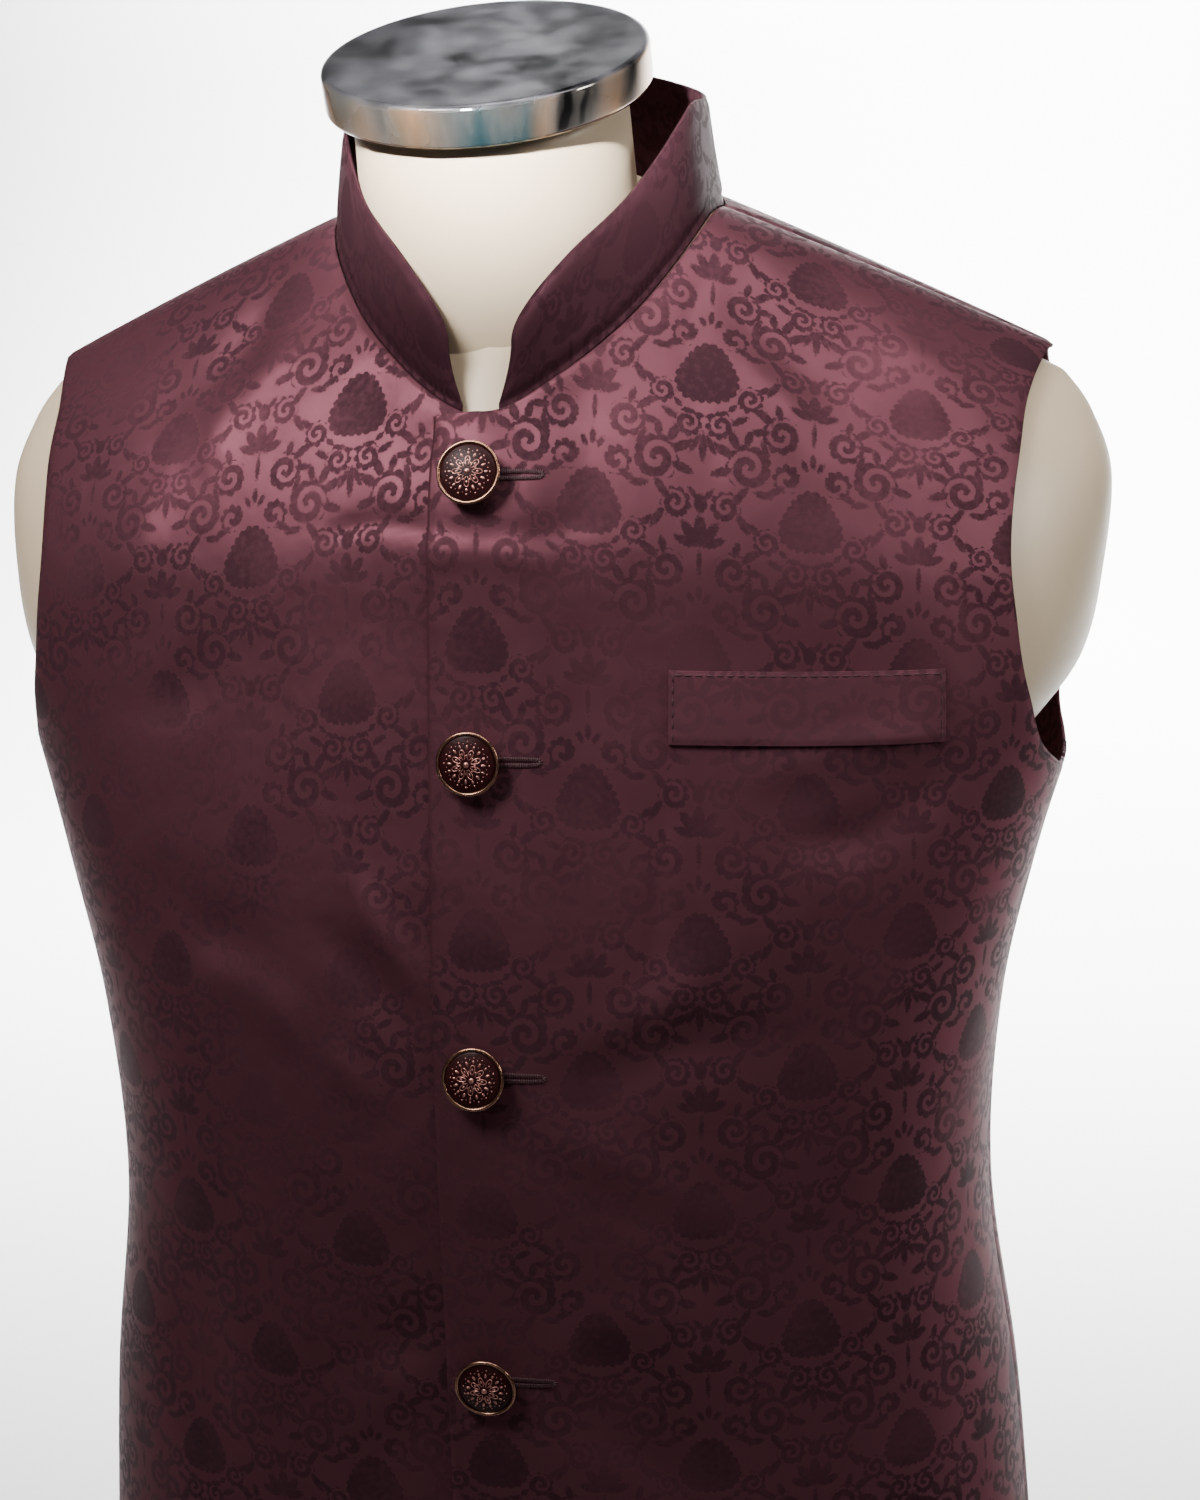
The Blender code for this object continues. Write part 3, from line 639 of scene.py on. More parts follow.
def run_along(path):
    """The distance along a path's points from its first."""
    steps = np.linalg.norm(np.diff(path, axis=0), axis=1)
    return np.concatenate([[0.0], np.cumsum(steps)])


def flat_place(u, level, side):
    """Where a point lies on the flat cut: its distance along its level, and up a mid line."""
    share = np.linspace(0.0, 1.0, 41)[:, None, None]
    path = level_point(u * share, level + 0.0 * share, side, 1.0)
    across = np.linalg.norm(np.diff(path, axis=0), axis=-1).sum(axis=0) * np.sign(u)
    rungs = np.linspace(1.0, RIDGE, 400)
    line = level_point(np.full_like(rungs, 0.35), rungs, side, 1.0)
    return np.stack([across, np.interp(level, rungs, run_along(line))], axis=-1)


def distance_to(points, outline):
    """How far each grid point is from the nearest point of an outline."""
    rows = [np.linalg.norm(row[:, None] - outline[None], axis=-1).min(axis=1) for row in points]
    return np.stack(rows)


def outline_of(grid):
    """A grid's outermost entries, once round."""
    return np.concatenate([grid[0, :-1], grid[:-1, -1], grid[-1, :0:-1], grid[:0:-1, 0]])


def seam_calm(points, seams):
    """0 at the seams, where the neighbour's edge must still meet, and 1 well inside."""
    return smoothstep(0.001, CREASE_FADE, distance_to(points, np.concatenate(seams)))


def rolled(points):
    """How far the turned edges sink: most at the very edge, nothing a few millimetres in."""
    away = distance_to(points, outline_of(points))
    return EDGE_ROLL * np.exp(-((away / EDGE_ROLL_WIDTH) ** 2))


def front_sheet(side_sign, lap_lift):
    """One front's outer and inner points and its cut; side_sign is 1 for the wearer's left."""
    share = panel_rows()
    steps = crowded(FRONT_COLUMNS)[None, :]
    inner_u, inner_level = edge_place(FRONT_INNER, share)
    outer_u, outer_level = edge_place(FRONT_OUTER, share)
    lap_u = u_of_x(np.full_like(inner_level, -LAP), inner_level)
    start_u = np.where(share <= PIT_SHARE, lap_u, inner_u)
    u = start_u + (outer_u - start_u) * steps
    u = np.minimum(u, SIDE_END)
    level = np.minimum(inner_level + (outer_level - inner_level) * steps, RIDGE_END)
    bare = level_point(u, level, -1, 1.0)
    fade = 1.0 - smoothstep(*LAP_FADE, bare[..., 0])
    calm = seam_calm(bare, [bare[:, -1], bare[-1]])
    relief = front_relief(side_sign * bare[..., 0], bare[..., 2]) * calm
    lift = lap_lift * fade + relief
    outer = lifted(u, level, -1, lift - rolled(bare))
    inner = lifted(u, level, -1, lift - WALL)
    cut = flat_place(u, level, -1)
    if side_sign > 0:
        return outer, inner, cut
    return outer[:, ::-1] * MIRROR, inner[:, ::-1] * MIRROR, cut[:, ::-1] * MIRROR[:2]


def back_neck(turn):
    """(u, level) along the back neckline, turn 0 at the nape and 1 on the ridge."""
    angle = turn * np.pi / 2
    u = NECK_SIDE_U * np.sin(angle)
    level = NAPE_LEVEL + (RIDGE - NAPE_LEVEL) * (1.0 - np.cos(angle))
    return u, level


def back_sheet():
    """The back: a patch between hem, side and armhole, middle line, and neck with shoulder."""
    share = panel_rows()
    steps = (crowded(BACK_COLUMNS) * 2.0 - 1.0)[None, :]
    spread = np.abs(steps)
    neck_u, top_level = back_neck(np.minimum(spread / BACK_NECK_SHARE, 1.0))
    beyond = np.clip((spread - BACK_NECK_SHARE) / (1.0 - BACK_NECK_SHARE), 0.0, 1.0)
    top_u = neck_u + (TIP_U - NECK_SIDE_U) * beyond
    outer_u, outer_level = edge_place(BACK_OUTER, share)
    middle_level = edge_place(BACK_MIDDLE, share)[1]
    u = np.sign(steps) * (spread * outer_u + share * (top_u - spread * TIP_U))
    u = np.clip(u, -SIDE_END, SIDE_END)
    across = (1.0 - spread) * middle_level + spread * outer_level
    straight_top = (1.0 - spread) * NAPE_LEVEL + spread * RIDGE
    level = np.minimum(across + share * (top_level - straight_top), RIDGE_END)
    bare = level_point(u, level, 1, 1.0)
    calm = seam_calm(bare, [bare[:, 0], bare[:, -1], bare[-1]])
    relief = creases(bare[..., 0], bare[..., 2], BACK_CREASES)
    relief = np.maximum(relief, -CREASE_DEPTH) * calm
    outer = lifted(u, level, 1, relief - rolled(bare))
    inner = lifted(u, level, 1, relief - WALL)
    cut = flat_place(u, level, 1)[:, ::-1] * MIRROR[:2]
    return outer[:, ::-1], inner[:, ::-1], cut


# The damask: palmettes, scrolls and flowers in a half-drop repeat. The figure is woven dull and
# the ground bright, so that the figure stands out where light falls and sinks where it doesn't.

REPEAT_ACROSS = 76.0  # these sizes are in millimetres on the cloth
REPEAT_UP = 96.3
FIGURE_LOW = -37.0  # where one figure's cell starts, below its palmette's centre
PALMETTE_MIDDLE = -1.5
PALMETTE_RADIUS = 10.1
PALMETTE_CORNERS = 1.1
PALMETTE_LOBES = 11.0
CUP_RADIUS = 14.4
CUP_START = 1.95  # radians from straight up
SCROLL_BAND = (0.13, 0.23)  # half the band's share of a turn: its growth, and its start
SCROLL_TEETH = 1.1
SCROLL_END = 0.88  # the share of its reach
FIGURE_EDGE = 0.25  # half the width over which a figure's edge fades
WEAVE_SCALE = 900.0
SPIRALS = (  # centre across and up, reach, hand, turns, start
    (22.2, 16.0, 8.0, 1.0, 1.50, 0.15),
    (8.8, 13.6, 4.6, 1.0, 0.80, 0.40),
    (11.4, 28.2, 6.4, -1.0, 1.45, 0.50),
    (8.6, 50.0, 5.0, 1.0, 1.40, 0.25),
    (15.2, -8.8, 4.2, -1.0, 1.30, 0.60),
    (5.6, -18.8, 4.6, 1.0, 1.40, 0.35),
)
LEAVES = (  # centre across and up, half width, half length, lean in degrees
    (0.0, 20.6, 1.1, 2.4, 0.0), (2.8, 18.8, 1.0, 2.0, -30.0), (0.0, 30.4, 0.9, 4.2, 0.0),
    (0.0, 41.2, 2.2, 5.2, 0.0), (3.3, 40.2, 1.9, 4.8, -35.0), (5.0, 37.6, 1.6, 3.8, -70.0),
    (0.0, 50.4, 2.3, 3.2, 0.0), (2.6, 53.4, 1.0, 2.6, -40.0), (0.0, -26.6, 1.4, 5.0, 0.0),
    (2.6, -25.4, 1.1, 3.6, 28.0), (5.2, -26.0, 0.9, 2.6, 52.0), (30.8, 21.0, 1.7, 3.6, -62.0),
    (27.6, 25.0, 1.6, 3.4, -28.0), (31.2, 13.6, 1.6, 3.8, -108.0), (22.4, 26.0, 1.4, 2.8, 12.0),
    (17.4, 34.0, 1.5, 3.6, -52.0), (18.6, 28.6, 1.3, 3.2, -95.0), (12.6, 35.8, 1.3, 2.8, -15.0),
    (12.4, 9.0, 1.3, 3.4, 62.0), (16.6, 7.2, 1.3, 3.2, 98.0), (24.6, 6.0, 1.4, 4.4, 38.0),
    (19.8, -13.6, 1.3, 3.4, 60.0), (19.6, -5.0, 1.2, 2.8, 130.0), (14.8, 44.6, 1.4, 3.8, 35.0),
    (16.6, 22.4, 1.2, 3.4, -20.0), (12.0, -16.4, 1.2, 3.0, -60.0),
)


def local_place(tree, place, centre, radii=(1.0, 1.0), turn=0.0):
    """Coordinates about a centre, turned and measured in the shape's own radii."""
    inputs = {
        "Vector": place,
        "Location": (*centre, 0.0),
        "Rotation": (0.0, 0.0, turn),
        "Scale": (*radii, 1.0),
    }
    return add_node(tree, "Mapping", inputs, vector_type="TEXTURE").outputs["Vector"]


def length_of(tree, place):
    return add_node(tree, "VectorMath", {0: place}, operation="LENGTH").outputs["Value"]


def leaf(tree, op, place, across, up, half_width, half_length, lean):
    """Distance to an ellipse that leans by lean degrees: (|local| - 1) * half_width."""
    radii = (half_width, half_length)
    local = local_place(tree, place, (across, up), radii, np.radians(lean))
    return op("MULTIPLY_ADD", length_of(tree, local), half_width, -half_width)


def spiral(tree, op, place, across, up, reach, hand, turns, start):
    """Distance to a scroll whose band widens outwards, with a toothed rim.

    The band is where radius * turns + angle / 2 pi is near a half, and it ends near reach.
    """
    local = local_place(tree, place, (across, up), (hand * reach, reach), start * 2 * np.pi)
    radius = length_of(tree, local)
    parts = add_node(tree, "SeparateXYZ", {0: local}).outputs
    angle = op("ARCTAN2", parts["Y"], parts["X"])
    wound = op("MULTIPLY_ADD", radius, turns, op("MULTIPLY", angle, 1 / (2 * np.pi)))
    off_middle = op("ABSOLUTE", op("SUBTRACT", op("FRACT", wound), 0.5))
    half_band = op("MULTIPLY_ADD", radius, *SCROLL_BAND)
    band = op("MULTIPLY", op("SUBTRACT", off_middle, half_band), reach / turns)
    teeth = op("ABSOLUTE", op("SINE", op("MULTIPLY", angle, 4.5)))
    past_end = op("MULTIPLY_ADD", radius, reach, -SCROLL_END * reach)
    rim = op("MULTIPLY_ADD", teeth, -SCROLL_TEETH, past_end)
    return op("MAXIMUM", band, rim)


def palmette(tree, op, place):
    """Distance to a domed triangle with small lobes, and to the beaded cup that holds it.

    Its radius is PALMETTE_RADIUS + PALMETTE_CORNERS * cos(3 a), a the angle from straight up.
    """
    local = local_place(tree, place, (0.0, PALMETTE_MIDDLE))
    radius = length_of(tree, local)
    parts = add_node(tree, "SeparateXYZ", {0: local}).outputs
    angle = op("ARCTAN2", parts["X"], parts["Y"])
    lobes = op("ABSOLUTE", op("SINE", op("MULTIPLY", angle, PALMETTE_LOBES)))
    corners = op("COSINE", op("MULTIPLY", angle, 3.0))
    outline = op("MULTIPLY_ADD", corners, PALMETTE_CORNERS, PALMETTE_RADIUS)
    dome = op("SUBTRACT", radius, op("MULTIPLY_ADD", lobes, 0.9, outline))
    bead = op("SUBTRACT", op("ABSOLUTE", op("SUBTRACT", radius, CUP_RADIUS)), lobes)
    cup = op("MAXIMUM", bead, op("MULTIPLY", op("SUBTRACT", CUP_START, angle), 8.0))
    return op("MINIMUM", dome, cup)


def new_group(name, result):
    """An empty shader node group that turns a Place into the number called result."""
    group = bpy.data.node_groups.new(name, "ShaderNodeTree")
    group.interface.new_socket(name="Place", in_out="INPUT", socket_type="NodeSocketVector")
    group.interface.new_socket(name=result, in_out="OUTPUT", socket_type="NodeSocketFloat")
    start = group.nodes.new("NodeGroupInput")
    end = group.nodes.new("NodeGroupOutput")
    return group, start.outputs["Place"], end.inputs[result]


def figure_group():
    """One figure: the least distance to its shapes, in millimetres, from a place in its cell."""
    group, place, result = new_group("damask_figure", "Distance")
    op = maths(group)
    nearest = palmette(group, op, place)
    for shape, rows in ((spiral, SPIRALS), (leaf, LEAVES)):
        for row in rows:
            nearest = op("MINIMUM", nearest, shape(group, op, place, *row))
    group.links.new(nearest, result)
    return group


def damask_group():
    """The whole cloth's figure mask: two half-drop sets of one mirrored figure.

    Its edge is ragged by noise, and the figure fades in large soft patches.
    """
    group, place, result = new_group("damask", "Figure")
    op = maths(group)
    parts = add_node(group, "SeparateXYZ", {0: place}).outputs
    x = op("MULTIPLY", parts["X"], 1000.0)
    y = op("MULTIPLY", parts["Y"], 1000.0)
    figure = figure_group()
    folded = op("PINGPONG", x, REPEAT_ACROSS / 2)
    lowered = op("SUBTRACT", y, REPEAT_UP / 2)
    distances = []
    for across, height in ((folded, y), (op("SUBTRACT", REPEAT_ACROSS / 2, folded), lowered)):
        up = op("WRAP", height, FIGURE_LOW + REPEAT_UP, FIGURE_LOW)
        cell = add_node(group, "CombineXYZ", {"X": across, "Y": up}).outputs[0]
        distances.append(add_node(group, "Group", {0: cell}, node_tree=figure).outputs[0])
    ragged = op("MULTIPLY_ADD", noise(group, 1000.0, 2.0, place), 1.5, -0.75)
    edge = ramp(group, FIGURE_EDGE, -FIGURE_EDGE, op("ADD", op("MINIMUM", *distances), ragged))
    fill = op("MULTIPLY_ADD", noise(group, 420.0, 2.0, place), 0.9, 0.45)
    faded = op("MULTIPLY_ADD", noise(group, 17.0, 2.0, place), 2.2, -0.25)
    fill = op("MULTIPLY", fill, op("MAXIMUM", op("MINIMUM", faded, 1.1), 0.35))
    group.links.new(op("MINIMUM", op("MULTIPLY", edge, fill), 1.0), result)
    return group


damask = damask_group()


def weave_height(tree, place):
    """Thread relief: fine warp floats crossed by shallower weft."""
    inputs = {"Scale": WEAVE_SCALE, "Distortion": 0.6, "Vector": place}
    warp = add_node(tree, "TexWave", inputs, bands_direction="X").outputs["Fac"]
    weft = add_node(tree, "TexWave", inputs, bands_direction="Y").outputs["Fac"]
    return maths(tree)("MULTIPLY_ADD", weft, 0.4, warp)


def jacquard_finish(name, ground, figured, shine):
    """Satin damask: a bright, slightly metallic ground and a duller, darker figure."""
    made, tree, shader = new_material(name)
    op = maths(tree)
    place = add_node(tree, "UVMap", {}, uv_map="cut").outputs["UV"]
    figure = add_node(tree, "Group", {"Place": place}, node_tree=damask).outputs["Figure"]
    cloud = noise(tree, 16.0, 4.0)
    slub = noise(tree, 520.0, 2.0, place)
    plain = blend_colours(tree, ground, figured, figure)
    deep = darker(ground, (0.55, 0.55, 0.55))
    rough = op("MULTIPLY_ADD", figure, 0.20, 0.33)
    rough = op("MULTIPLY_ADD", slub, 0.10, rough)
    threads = op("MULTIPLY", weave_height(tree, place), 0.35)
    soft = op("MULTIPLY_ADD", noise(tree, 24.0, 3.0), 26.0, threads)
    looks = {
        "Base Color": blend_colours(tree, plain, deep, op("MULTIPLY", cloud, 0.45)),
        "Roughness": op("MULTIPLY_ADD", cloud, 0.10, rough),
        "Metallic": op("MULTIPLY_ADD", figure, -0.75 * shine, shine),
        "Specular IOR Level": 0.15,
        "Specular Tint": GLOSS_TINT,
        "Sheen Weight": 0.02,
        "Sheen Roughness": 0.4,
        "Sheen Tint": SHEEN_TINT,
        "Normal": bumped(tree, soft, 0.35, 0.0002),
    }
    feed(tree, shader, looks)
    return made


WINE_GROUND = (0.165, 0.060, 0.080, 1.0)
WINE_FIGURE = (0.040, 0.018, 0.025, 1.0)
SHEEN_TINT = (0.55, 0.44, 0.34, 1.0)
GLOSS_TINT = (0.22, 0.10, 0.13, 1.0)
wine = jacquard_finish("wine_jacquard", WINE_GROUND, WINE_FIGURE, 0.62)


def wall_mesh(name, outer, inner, cut):
    """A closed wall: a sheet, the same sheet's inside, and a rim all round the outline.

    cut gives each grid point its place on the flat piece, in metres, as the map "cut".
    """
    rows, columns = outer.shape[:2]
    inside = rows * columns
    quads = grid_faces(rows, columns)
    edge = outline_of(np.arange(inside).reshape(rows, columns))
    ahead = np.roll(edge, -1)
    rim = np.stack([ahead, edge, edge + inside, ahead + inside], axis=-1)
    faces = np.concatenate([quads, quads[:, ::-1] + inside, rim])
    mesh = mesh_of(name, np.concatenate([outer, inner]), faces)
    flat = mesh.uv_layers.new(name="cut")
    both = np.concatenate([cut, cut]).reshape(-1, 2)
    flat.data.foreach_set("uv", both[faces.ravel()].ravel())
    return mesh


def cloth_piece(name, sheet, origin, finish):
    """A cloth panel from its (outer, inner, cut), with the cut's map counted from origin."""
    outer, inner, cut = sheet
    made = put(wall_mesh(name, outer, inner, cut - np.array(origin)), finish)
    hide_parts(name.removesuffix("_cloth"))
    return made


LEFT_FIGURE = (0.0020, 0.4400)  # where a palmette's centre falls on each panel's cut
RIGHT_FIGURE = (-0.0466, 0.5212)
BACK_FIGURE = (0.0, 0.4800)

left_sheet, right_sheet, back_panel = front_sheet(1, LAP_LIFT), front_sheet(-1, 0.0), back_sheet()
front_left = cloth_piece("front_left_cloth", left_sheet, LEFT_FIGURE, wine)
front_right = cloth_piece("front_right_cloth", right_sheet, RIGHT_FIGURE, wine)
back = cloth_piece("back_cloth", back_panel, BACK_FIGURE, wine)


# ---- The collar ------------------------------------------------------------------------------
# A stand band of the same jacquard, stiffened, with rounded front ends that stand a little
# apart; its darker plum is painted shade for its steep face. It is sewn into the neckline.

COLLAR_HEIGHT = 0.036
COLLAR_WALL = 0.0018
COLLAR_SET_IN = 0.0010
COLLAR_SET_UP = 0.0018
COLLAR_GAP = 0.0136
COLLAR_ROUNDING = 0.045
COLLAR_FRONT_SHARE = 0.56
COLLAR_FLARE = 0.005
COLLAR_FLARE_REACH = 0.012
COLLAR_LEAN, COLLAR_FRONT_LEAN = np.radians([8.0, 3.0])
COLLAR_ROWS = 30
COLLAR_TUCK = (0.0027, 0.0018, 0.0009)  # the seam allowance that goes down behind the neckline
COLLAR_TUCK_SLOPE = 0.30  # how far the tuck goes outwards as it goes down
COLLAR_BULGE, COLLAR_WAVE = 0.0006, 55.0  # its faint waves, and their radians a metre


def read_along(at, along, path):
    """A path's points at these distances along it, between its own points."""
    return np.stack([np.interp(at, along, path[:, axis]) for axis in range(3)], axis=1)


def neckline():
    """The neck seam from the right front end to the left, and the distance along it."""
    share = np.linspace(PIT_SHARE, 1.0, 140)[1:]
    u, level = edge_place(FRONT_INNER, share)
    front = level_point(u, level, -1, 1.0)
    first = np.argmax(front[:, 0] > COLLAR_GAP / 2)
    before, after = front[first - 1], front[first]
    end = before + (after - before) * (COLLAR_GAP / 2 - before[0]) / (after[0] - before[0])
    u, level = back_neck(np.linspace(1.0, 0.0, 60)[1:])
    half = np.concatenate([end[None, :], front[first:], level_point(u, level, 1, 1.0)])
    whole = np.concatenate([half, half[-2::-1] * MIRROR])[::-1]
    return whole, run_along(whole)


def collar_sheet():
    """The band's rows, foot to top edge, and its cut: length along the seam by height."""
    rough_foot, rough_along = neckline()
    along = crowded(360, 0.6) * rough_along[-1]
    foot = read_along(along, rough_along, rough_foot)
    to_end = np.minimum(along, along[-1] - along)
    short = np.clip(1.0 - to_end / COLLAR_ROUNDING, 0.0, 1.0)
    height = COLLAR_HEIGHT * (
        COLLAR_FRONT_SHARE + (1.0 - COLLAR_FRONT_SHARE) * (1.0 - short**2) ** 0.6
    )
    along_seam = unit(np.gradient(foot, along, axis=0))
    ahead = np.where(along < along[-1] / 2, 1.0, -1.0) * np.exp(-to_end / COLLAR_FLARE_REACH)
    flare = along_seam * (ahead * COLLAR_FLARE)[:, None]
    inward = np.array([0.0, NECK_FOOT[1], 0.0]) - foot
    inward[:, 2] = 0.0
    inward = unit(inward)
    in_front = smoothstep(0.0, 0.9, inward[:, 1:2])
    lean = COLLAR_LEAN + (COLLAR_FRONT_LEAN - COLLAR_LEAN) * in_front
    rise = inward * np.sin(lean) + UP * np.cos(lean)
    foot = foot + inward * COLLAR_SET_IN + UP * COLLAR_SET_UP
    share = crowded(COLLAR_ROWS, 0.8)[:, None]
    points = foot + (rise * height[:, None]) * share[..., None]
    points = points + flare * np.sin(share * np.pi / 2)[..., None]
    sunk = rolled(points)
    bulge = COLLAR_BULGE * np.sin(np.pi * share) * np.sin(along * COLLAR_WAVE + 0.8)
    inner = points - inward * (bulge - COLLAR_WALL)[..., None]
    points = points - inward * (bulge - sunk)[..., None]
    cut = np.stack([along + 0.0 * share, height * share], axis=-1)
    down = np.array(COLLAR_TUCK)[:, None] + 0.0 * along
    tuck = points[0] - (UP + inward * COLLAR_TUCK_SLOPE) * down[..., None]
    below = np.stack([along + 0.0 * down, -down], axis=-1)
    inner = np.concatenate([tuck + inward * COLLAR_WALL, inner])
    return np.concatenate([tuck, points]), inner, np.concatenate([below, cut])


# Painted shade: the collar's colours are a darker copy of the wine, standing in for the shade on its
# steep face.
SHADED_PLUM_GROUND = (0.070, 0.027, 0.037, 1.0)
SHADED_PLUM_FIGURE = (0.032, 0.012, 0.018, 1.0)
plum = jacquard_finish("plum_jacquard", SHADED_PLUM_GROUND, SHADED_PLUM_FIGURE, 0.45)
collar_band = collar_sheet()
collar = cloth_piece("collar_cloth", collar_band, (0.01, 0.02), plum)


# ---- The breast pocket's welt ----------------------------------------------------------------
# A folded strip over the pocket mouth on the left breast, its ends stitched down and its lower
# edge seamed to the front. The pocket behind it is closed and empty.

WELT_INNER_X, WELT_OUTER_X = 0.067, 0.158
WELT_BOTTOM_Z, WELT_TOP_Z = 0.5575, 0.5825
WELT_DROP = 0.004
WELT_WALL = 0.0012
WELT_SKIN = WELT_WALL + 2.0 * SEAM_GAP  # the welt's face over the front's
WELT_ROLL_WIDTH = 0.0014
WELT_FIGURE = (0.085, 0.034, 0.046, 1.0)  # pressing has dulled the folded strip's contrast


def level_of_z(u, z, side):
    """The level whose height at u is z, found by halving."""
    low = np.zeros_like(z)
    high = np.full_like(z, float(RIDGE))
    for _ in range(40):
        middle = (low + high) / 2
        below = level_point(u, middle, side, 1.0)[..., 2] < z
        low = np.where(below, middle, low)
        high = np.where(below, high, middle)
    return (low + high) / 2


def on_front(x, z):
    """(u, level) of the front's point at this place as seen from ahead."""
    level = level_of_z(np.full_like(x, 0.3), z, -1)
    for _ in range(6):
        u = u_of_x(x, level)
        level = level_of_z(u, z, -1)
    return u_of_x(x, level), level


def on_left_front(x, z, lift):
    """Points on the finished left front at these places, moved out by lift."""
    u, level = on_front(x, z)
    fade = 1.0 - smoothstep(*LAP_FADE, x)
    return lifted(u, level, -1, LAP_LIFT * fade + front_relief(x, z) + lift)


def welt_place(across, up):
    """x and z on the welt at shares of its length and height; the outer end hangs lower."""
    x = WELT_INNER_X + (WELT_OUTER_X - WELT_INNER_X) * across + 0.0 * up
    z = WELT_BOTTOM_Z + (WELT_TOP_Z - WELT_BOTTOM_Z) * up - WELT_DROP * across
    return x, z


def welt_sheet():
    """The strip's outer and inner points, its edges rolled in, and its cut."""
    x, z = welt_place(crowded(110, 0.7)[None, :], crowded(36, 0.8)[:, None])
    flat = np.stack([x, z], axis=-1)
    away = distance_to(flat, outline_of(flat))
    lift = WELT_SKIN - 0.5 * EDGE_ROLL * np.exp(-((away / WELT_ROLL_WIDTH) ** 2))
    return on_left_front(x, z, lift), on_left_front(x, z, WELT_SKIN - WELT_WALL), flat


pressed = jacquard_finish("pressed_jacquard", WINE_GROUND, WELT_FIGURE, 0.50)
welt_strip = welt_sheet()
welt = cloth_piece("breast_welt_cloth", welt_strip, (0.09, 0.60), pressed)


# ---- Stitching and buttonholes ---------------------------------------------------------------
# Edge stitching round the welt, and five worked buttonholes on the lap, in a thread a little
# darker than the cloth: partly its own colour, partly painted shade for the buttonhole slits.
# Each hole starts under its button and runs away from the edge.

THREAD_RADIUS = 0.00022
HOLE_THREAD_RADIUS = 0.00026
STITCH_LENGTH = 0.0026
STITCH_PITCH = 1.35 * STITCH_LENGTH
HOLE_STITCH_LENGTH = 0.0019
HOLE_STITCH_PITCH = 0.00062
HOLE_LENGTH, HOLE_WIDTH, HOLE_MIDDLE_X = 0.0256, 0.0022, 0.0110
HOLE_LIFT = 0.0002
STITCH_INSET = 0.016  # the end seams' share of the way along the welt
STITCH_UP = 0.94
# Partly painted shade: the thread is darkened beyond its own colour to stand for the shade in the
# buttonhole slits.
THREAD_AND_SLIT_SHADE_COLOUR = (0.085, 0.034, 0.042, 1.0)


def thread_finish():
    """Twisted polyester thread: fine mottling and a soft gloss."""
    dull = darker(THREAD_AND_SLIT_SHADE_COLOUR, (0.6, 0.6, 0.6))
    colours = (THREAD_AND_SLIT_SHADE_COLOUR, dull)
    made, tree, shader = mottled("wine_thread", colours, 900.0, 2.0, (0.4, 0.6), 300.0)
    feed(tree, shader, {"Normal": bumped(tree, noise(tree, 2600.0, 1.0), 0.4, 0.0001)})
    return made


def stitch_points(middles, directions, normals, length, radius):
    """Capsules along each direction: rings whose radius falls to nothing at both ends."""
    directions = unit(directions)
    normals = unit(normals)[:, None, None, :]
    sides = unit(np.cross(directions, normals[:, 0, 0]))[:, None, None, :]
    share = np.linspace(-1.0, 1.0, 7)[None, :, None, None]
    angle = np.linspace(0.0, 2 * np.pi, 7)[:-1][None, None, :, None]
    ring = np.cos(angle) * normals + np.sin(angle) * sides
    body = np.sqrt(np.clip(1.0 - share**4, 0.0, 1.0)) * radius
    arch = (1.0 - share**2) * radius * 0.5
    lengthwise = directions[:, None, None, :] * share * length / 2
    return middles[:, None, None, :] + lengthwise + normals * arch + ring * body


def seam_on_front(x, z, lift, pitch):
    """Middles, directions and normals of stitches evenly along a path over the left front."""
    path = on_left_front(x, z, lift)
    normals = on_left_front(x, z, lift + 0.001) - path
    along = run_along(path)
    count = max(int(along[-1] / pitch), 2)
    at = (np.arange(count) + 0.5) / count * along[-1]
    ahead = read_along(at + 1e-4, along, path) - read_along(at - 1e-4, along, path)
    return read_along(at, along, path), ahead, read_along(at, along, normals)


def joined_seams(name, seams, length, radius):
    """One piece of thread from several seams."""
    parts = [np.concatenate(part) for part in zip(*seams)]
    return put(rings_mesh(name, stitch_points(*parts, length, radius)), thread)


def welt_stitches():
    """Down both ends of the welt and along its top edge."""
    run = np.linspace(STITCH_INSET, 1.0 - STITCH_INSET, 80)
    rise = np.linspace(0.03, 0.97, 20)
    shares = (
        (np.full_like(rise, STITCH_INSET), rise),
        (np.full_like(rise, 1.0 - STITCH_INSET), rise),
        (run, np.full_like(run, STITCH_UP)),
    )
    seams = [seam_on_front(*welt_place(*pair), WELT_SKIN, STITCH_PITCH) for pair in shares]
    return joined_seams("welt_stitching", seams, STITCH_LENGTH, THREAD_RADIUS)


def buttonhole(height):
    """A worked hole: close stitches across the outline of a narrow stadium on the lap."""
    turn = np.linspace(0.0, 2 * np.pi, 120)
    lengthwise, crosswise = np.cos(turn), np.sin(turn)
    x = HOLE_MIDDLE_X + HOLE_LENGTH / 2 * np.sign(lengthwise) * np.abs(lengthwise) ** 0.6
    z = height + HOLE_WIDTH / 2 * np.sign(crosswise) * np.abs(crosswise) ** 0.5
    middles, along, facing = seam_on_front(x, z, HOLE_LIFT, HOLE_STITCH_PITCH)
    return middles, np.cross(along, facing), facing


thread = thread_finish()
welt_thread = welt_stitches()
holes = [buttonhole(FIRST_BUTTON_Z - drop) for drop in BUTTON_DROPS]
joined_seams("buttonhole_stitching", holes, HOLE_STITCH_LENGTH, HOLE_THREAD_RADIUS)


# ---- The buttons -----------------------------------------------------------------------------
# Five metal shank buttons: a thin rolled brass rim, a dome of near-black maroon enamel, and on
# it a rose-gold rosette of beads, looped petals and drops, raised like fine wire.

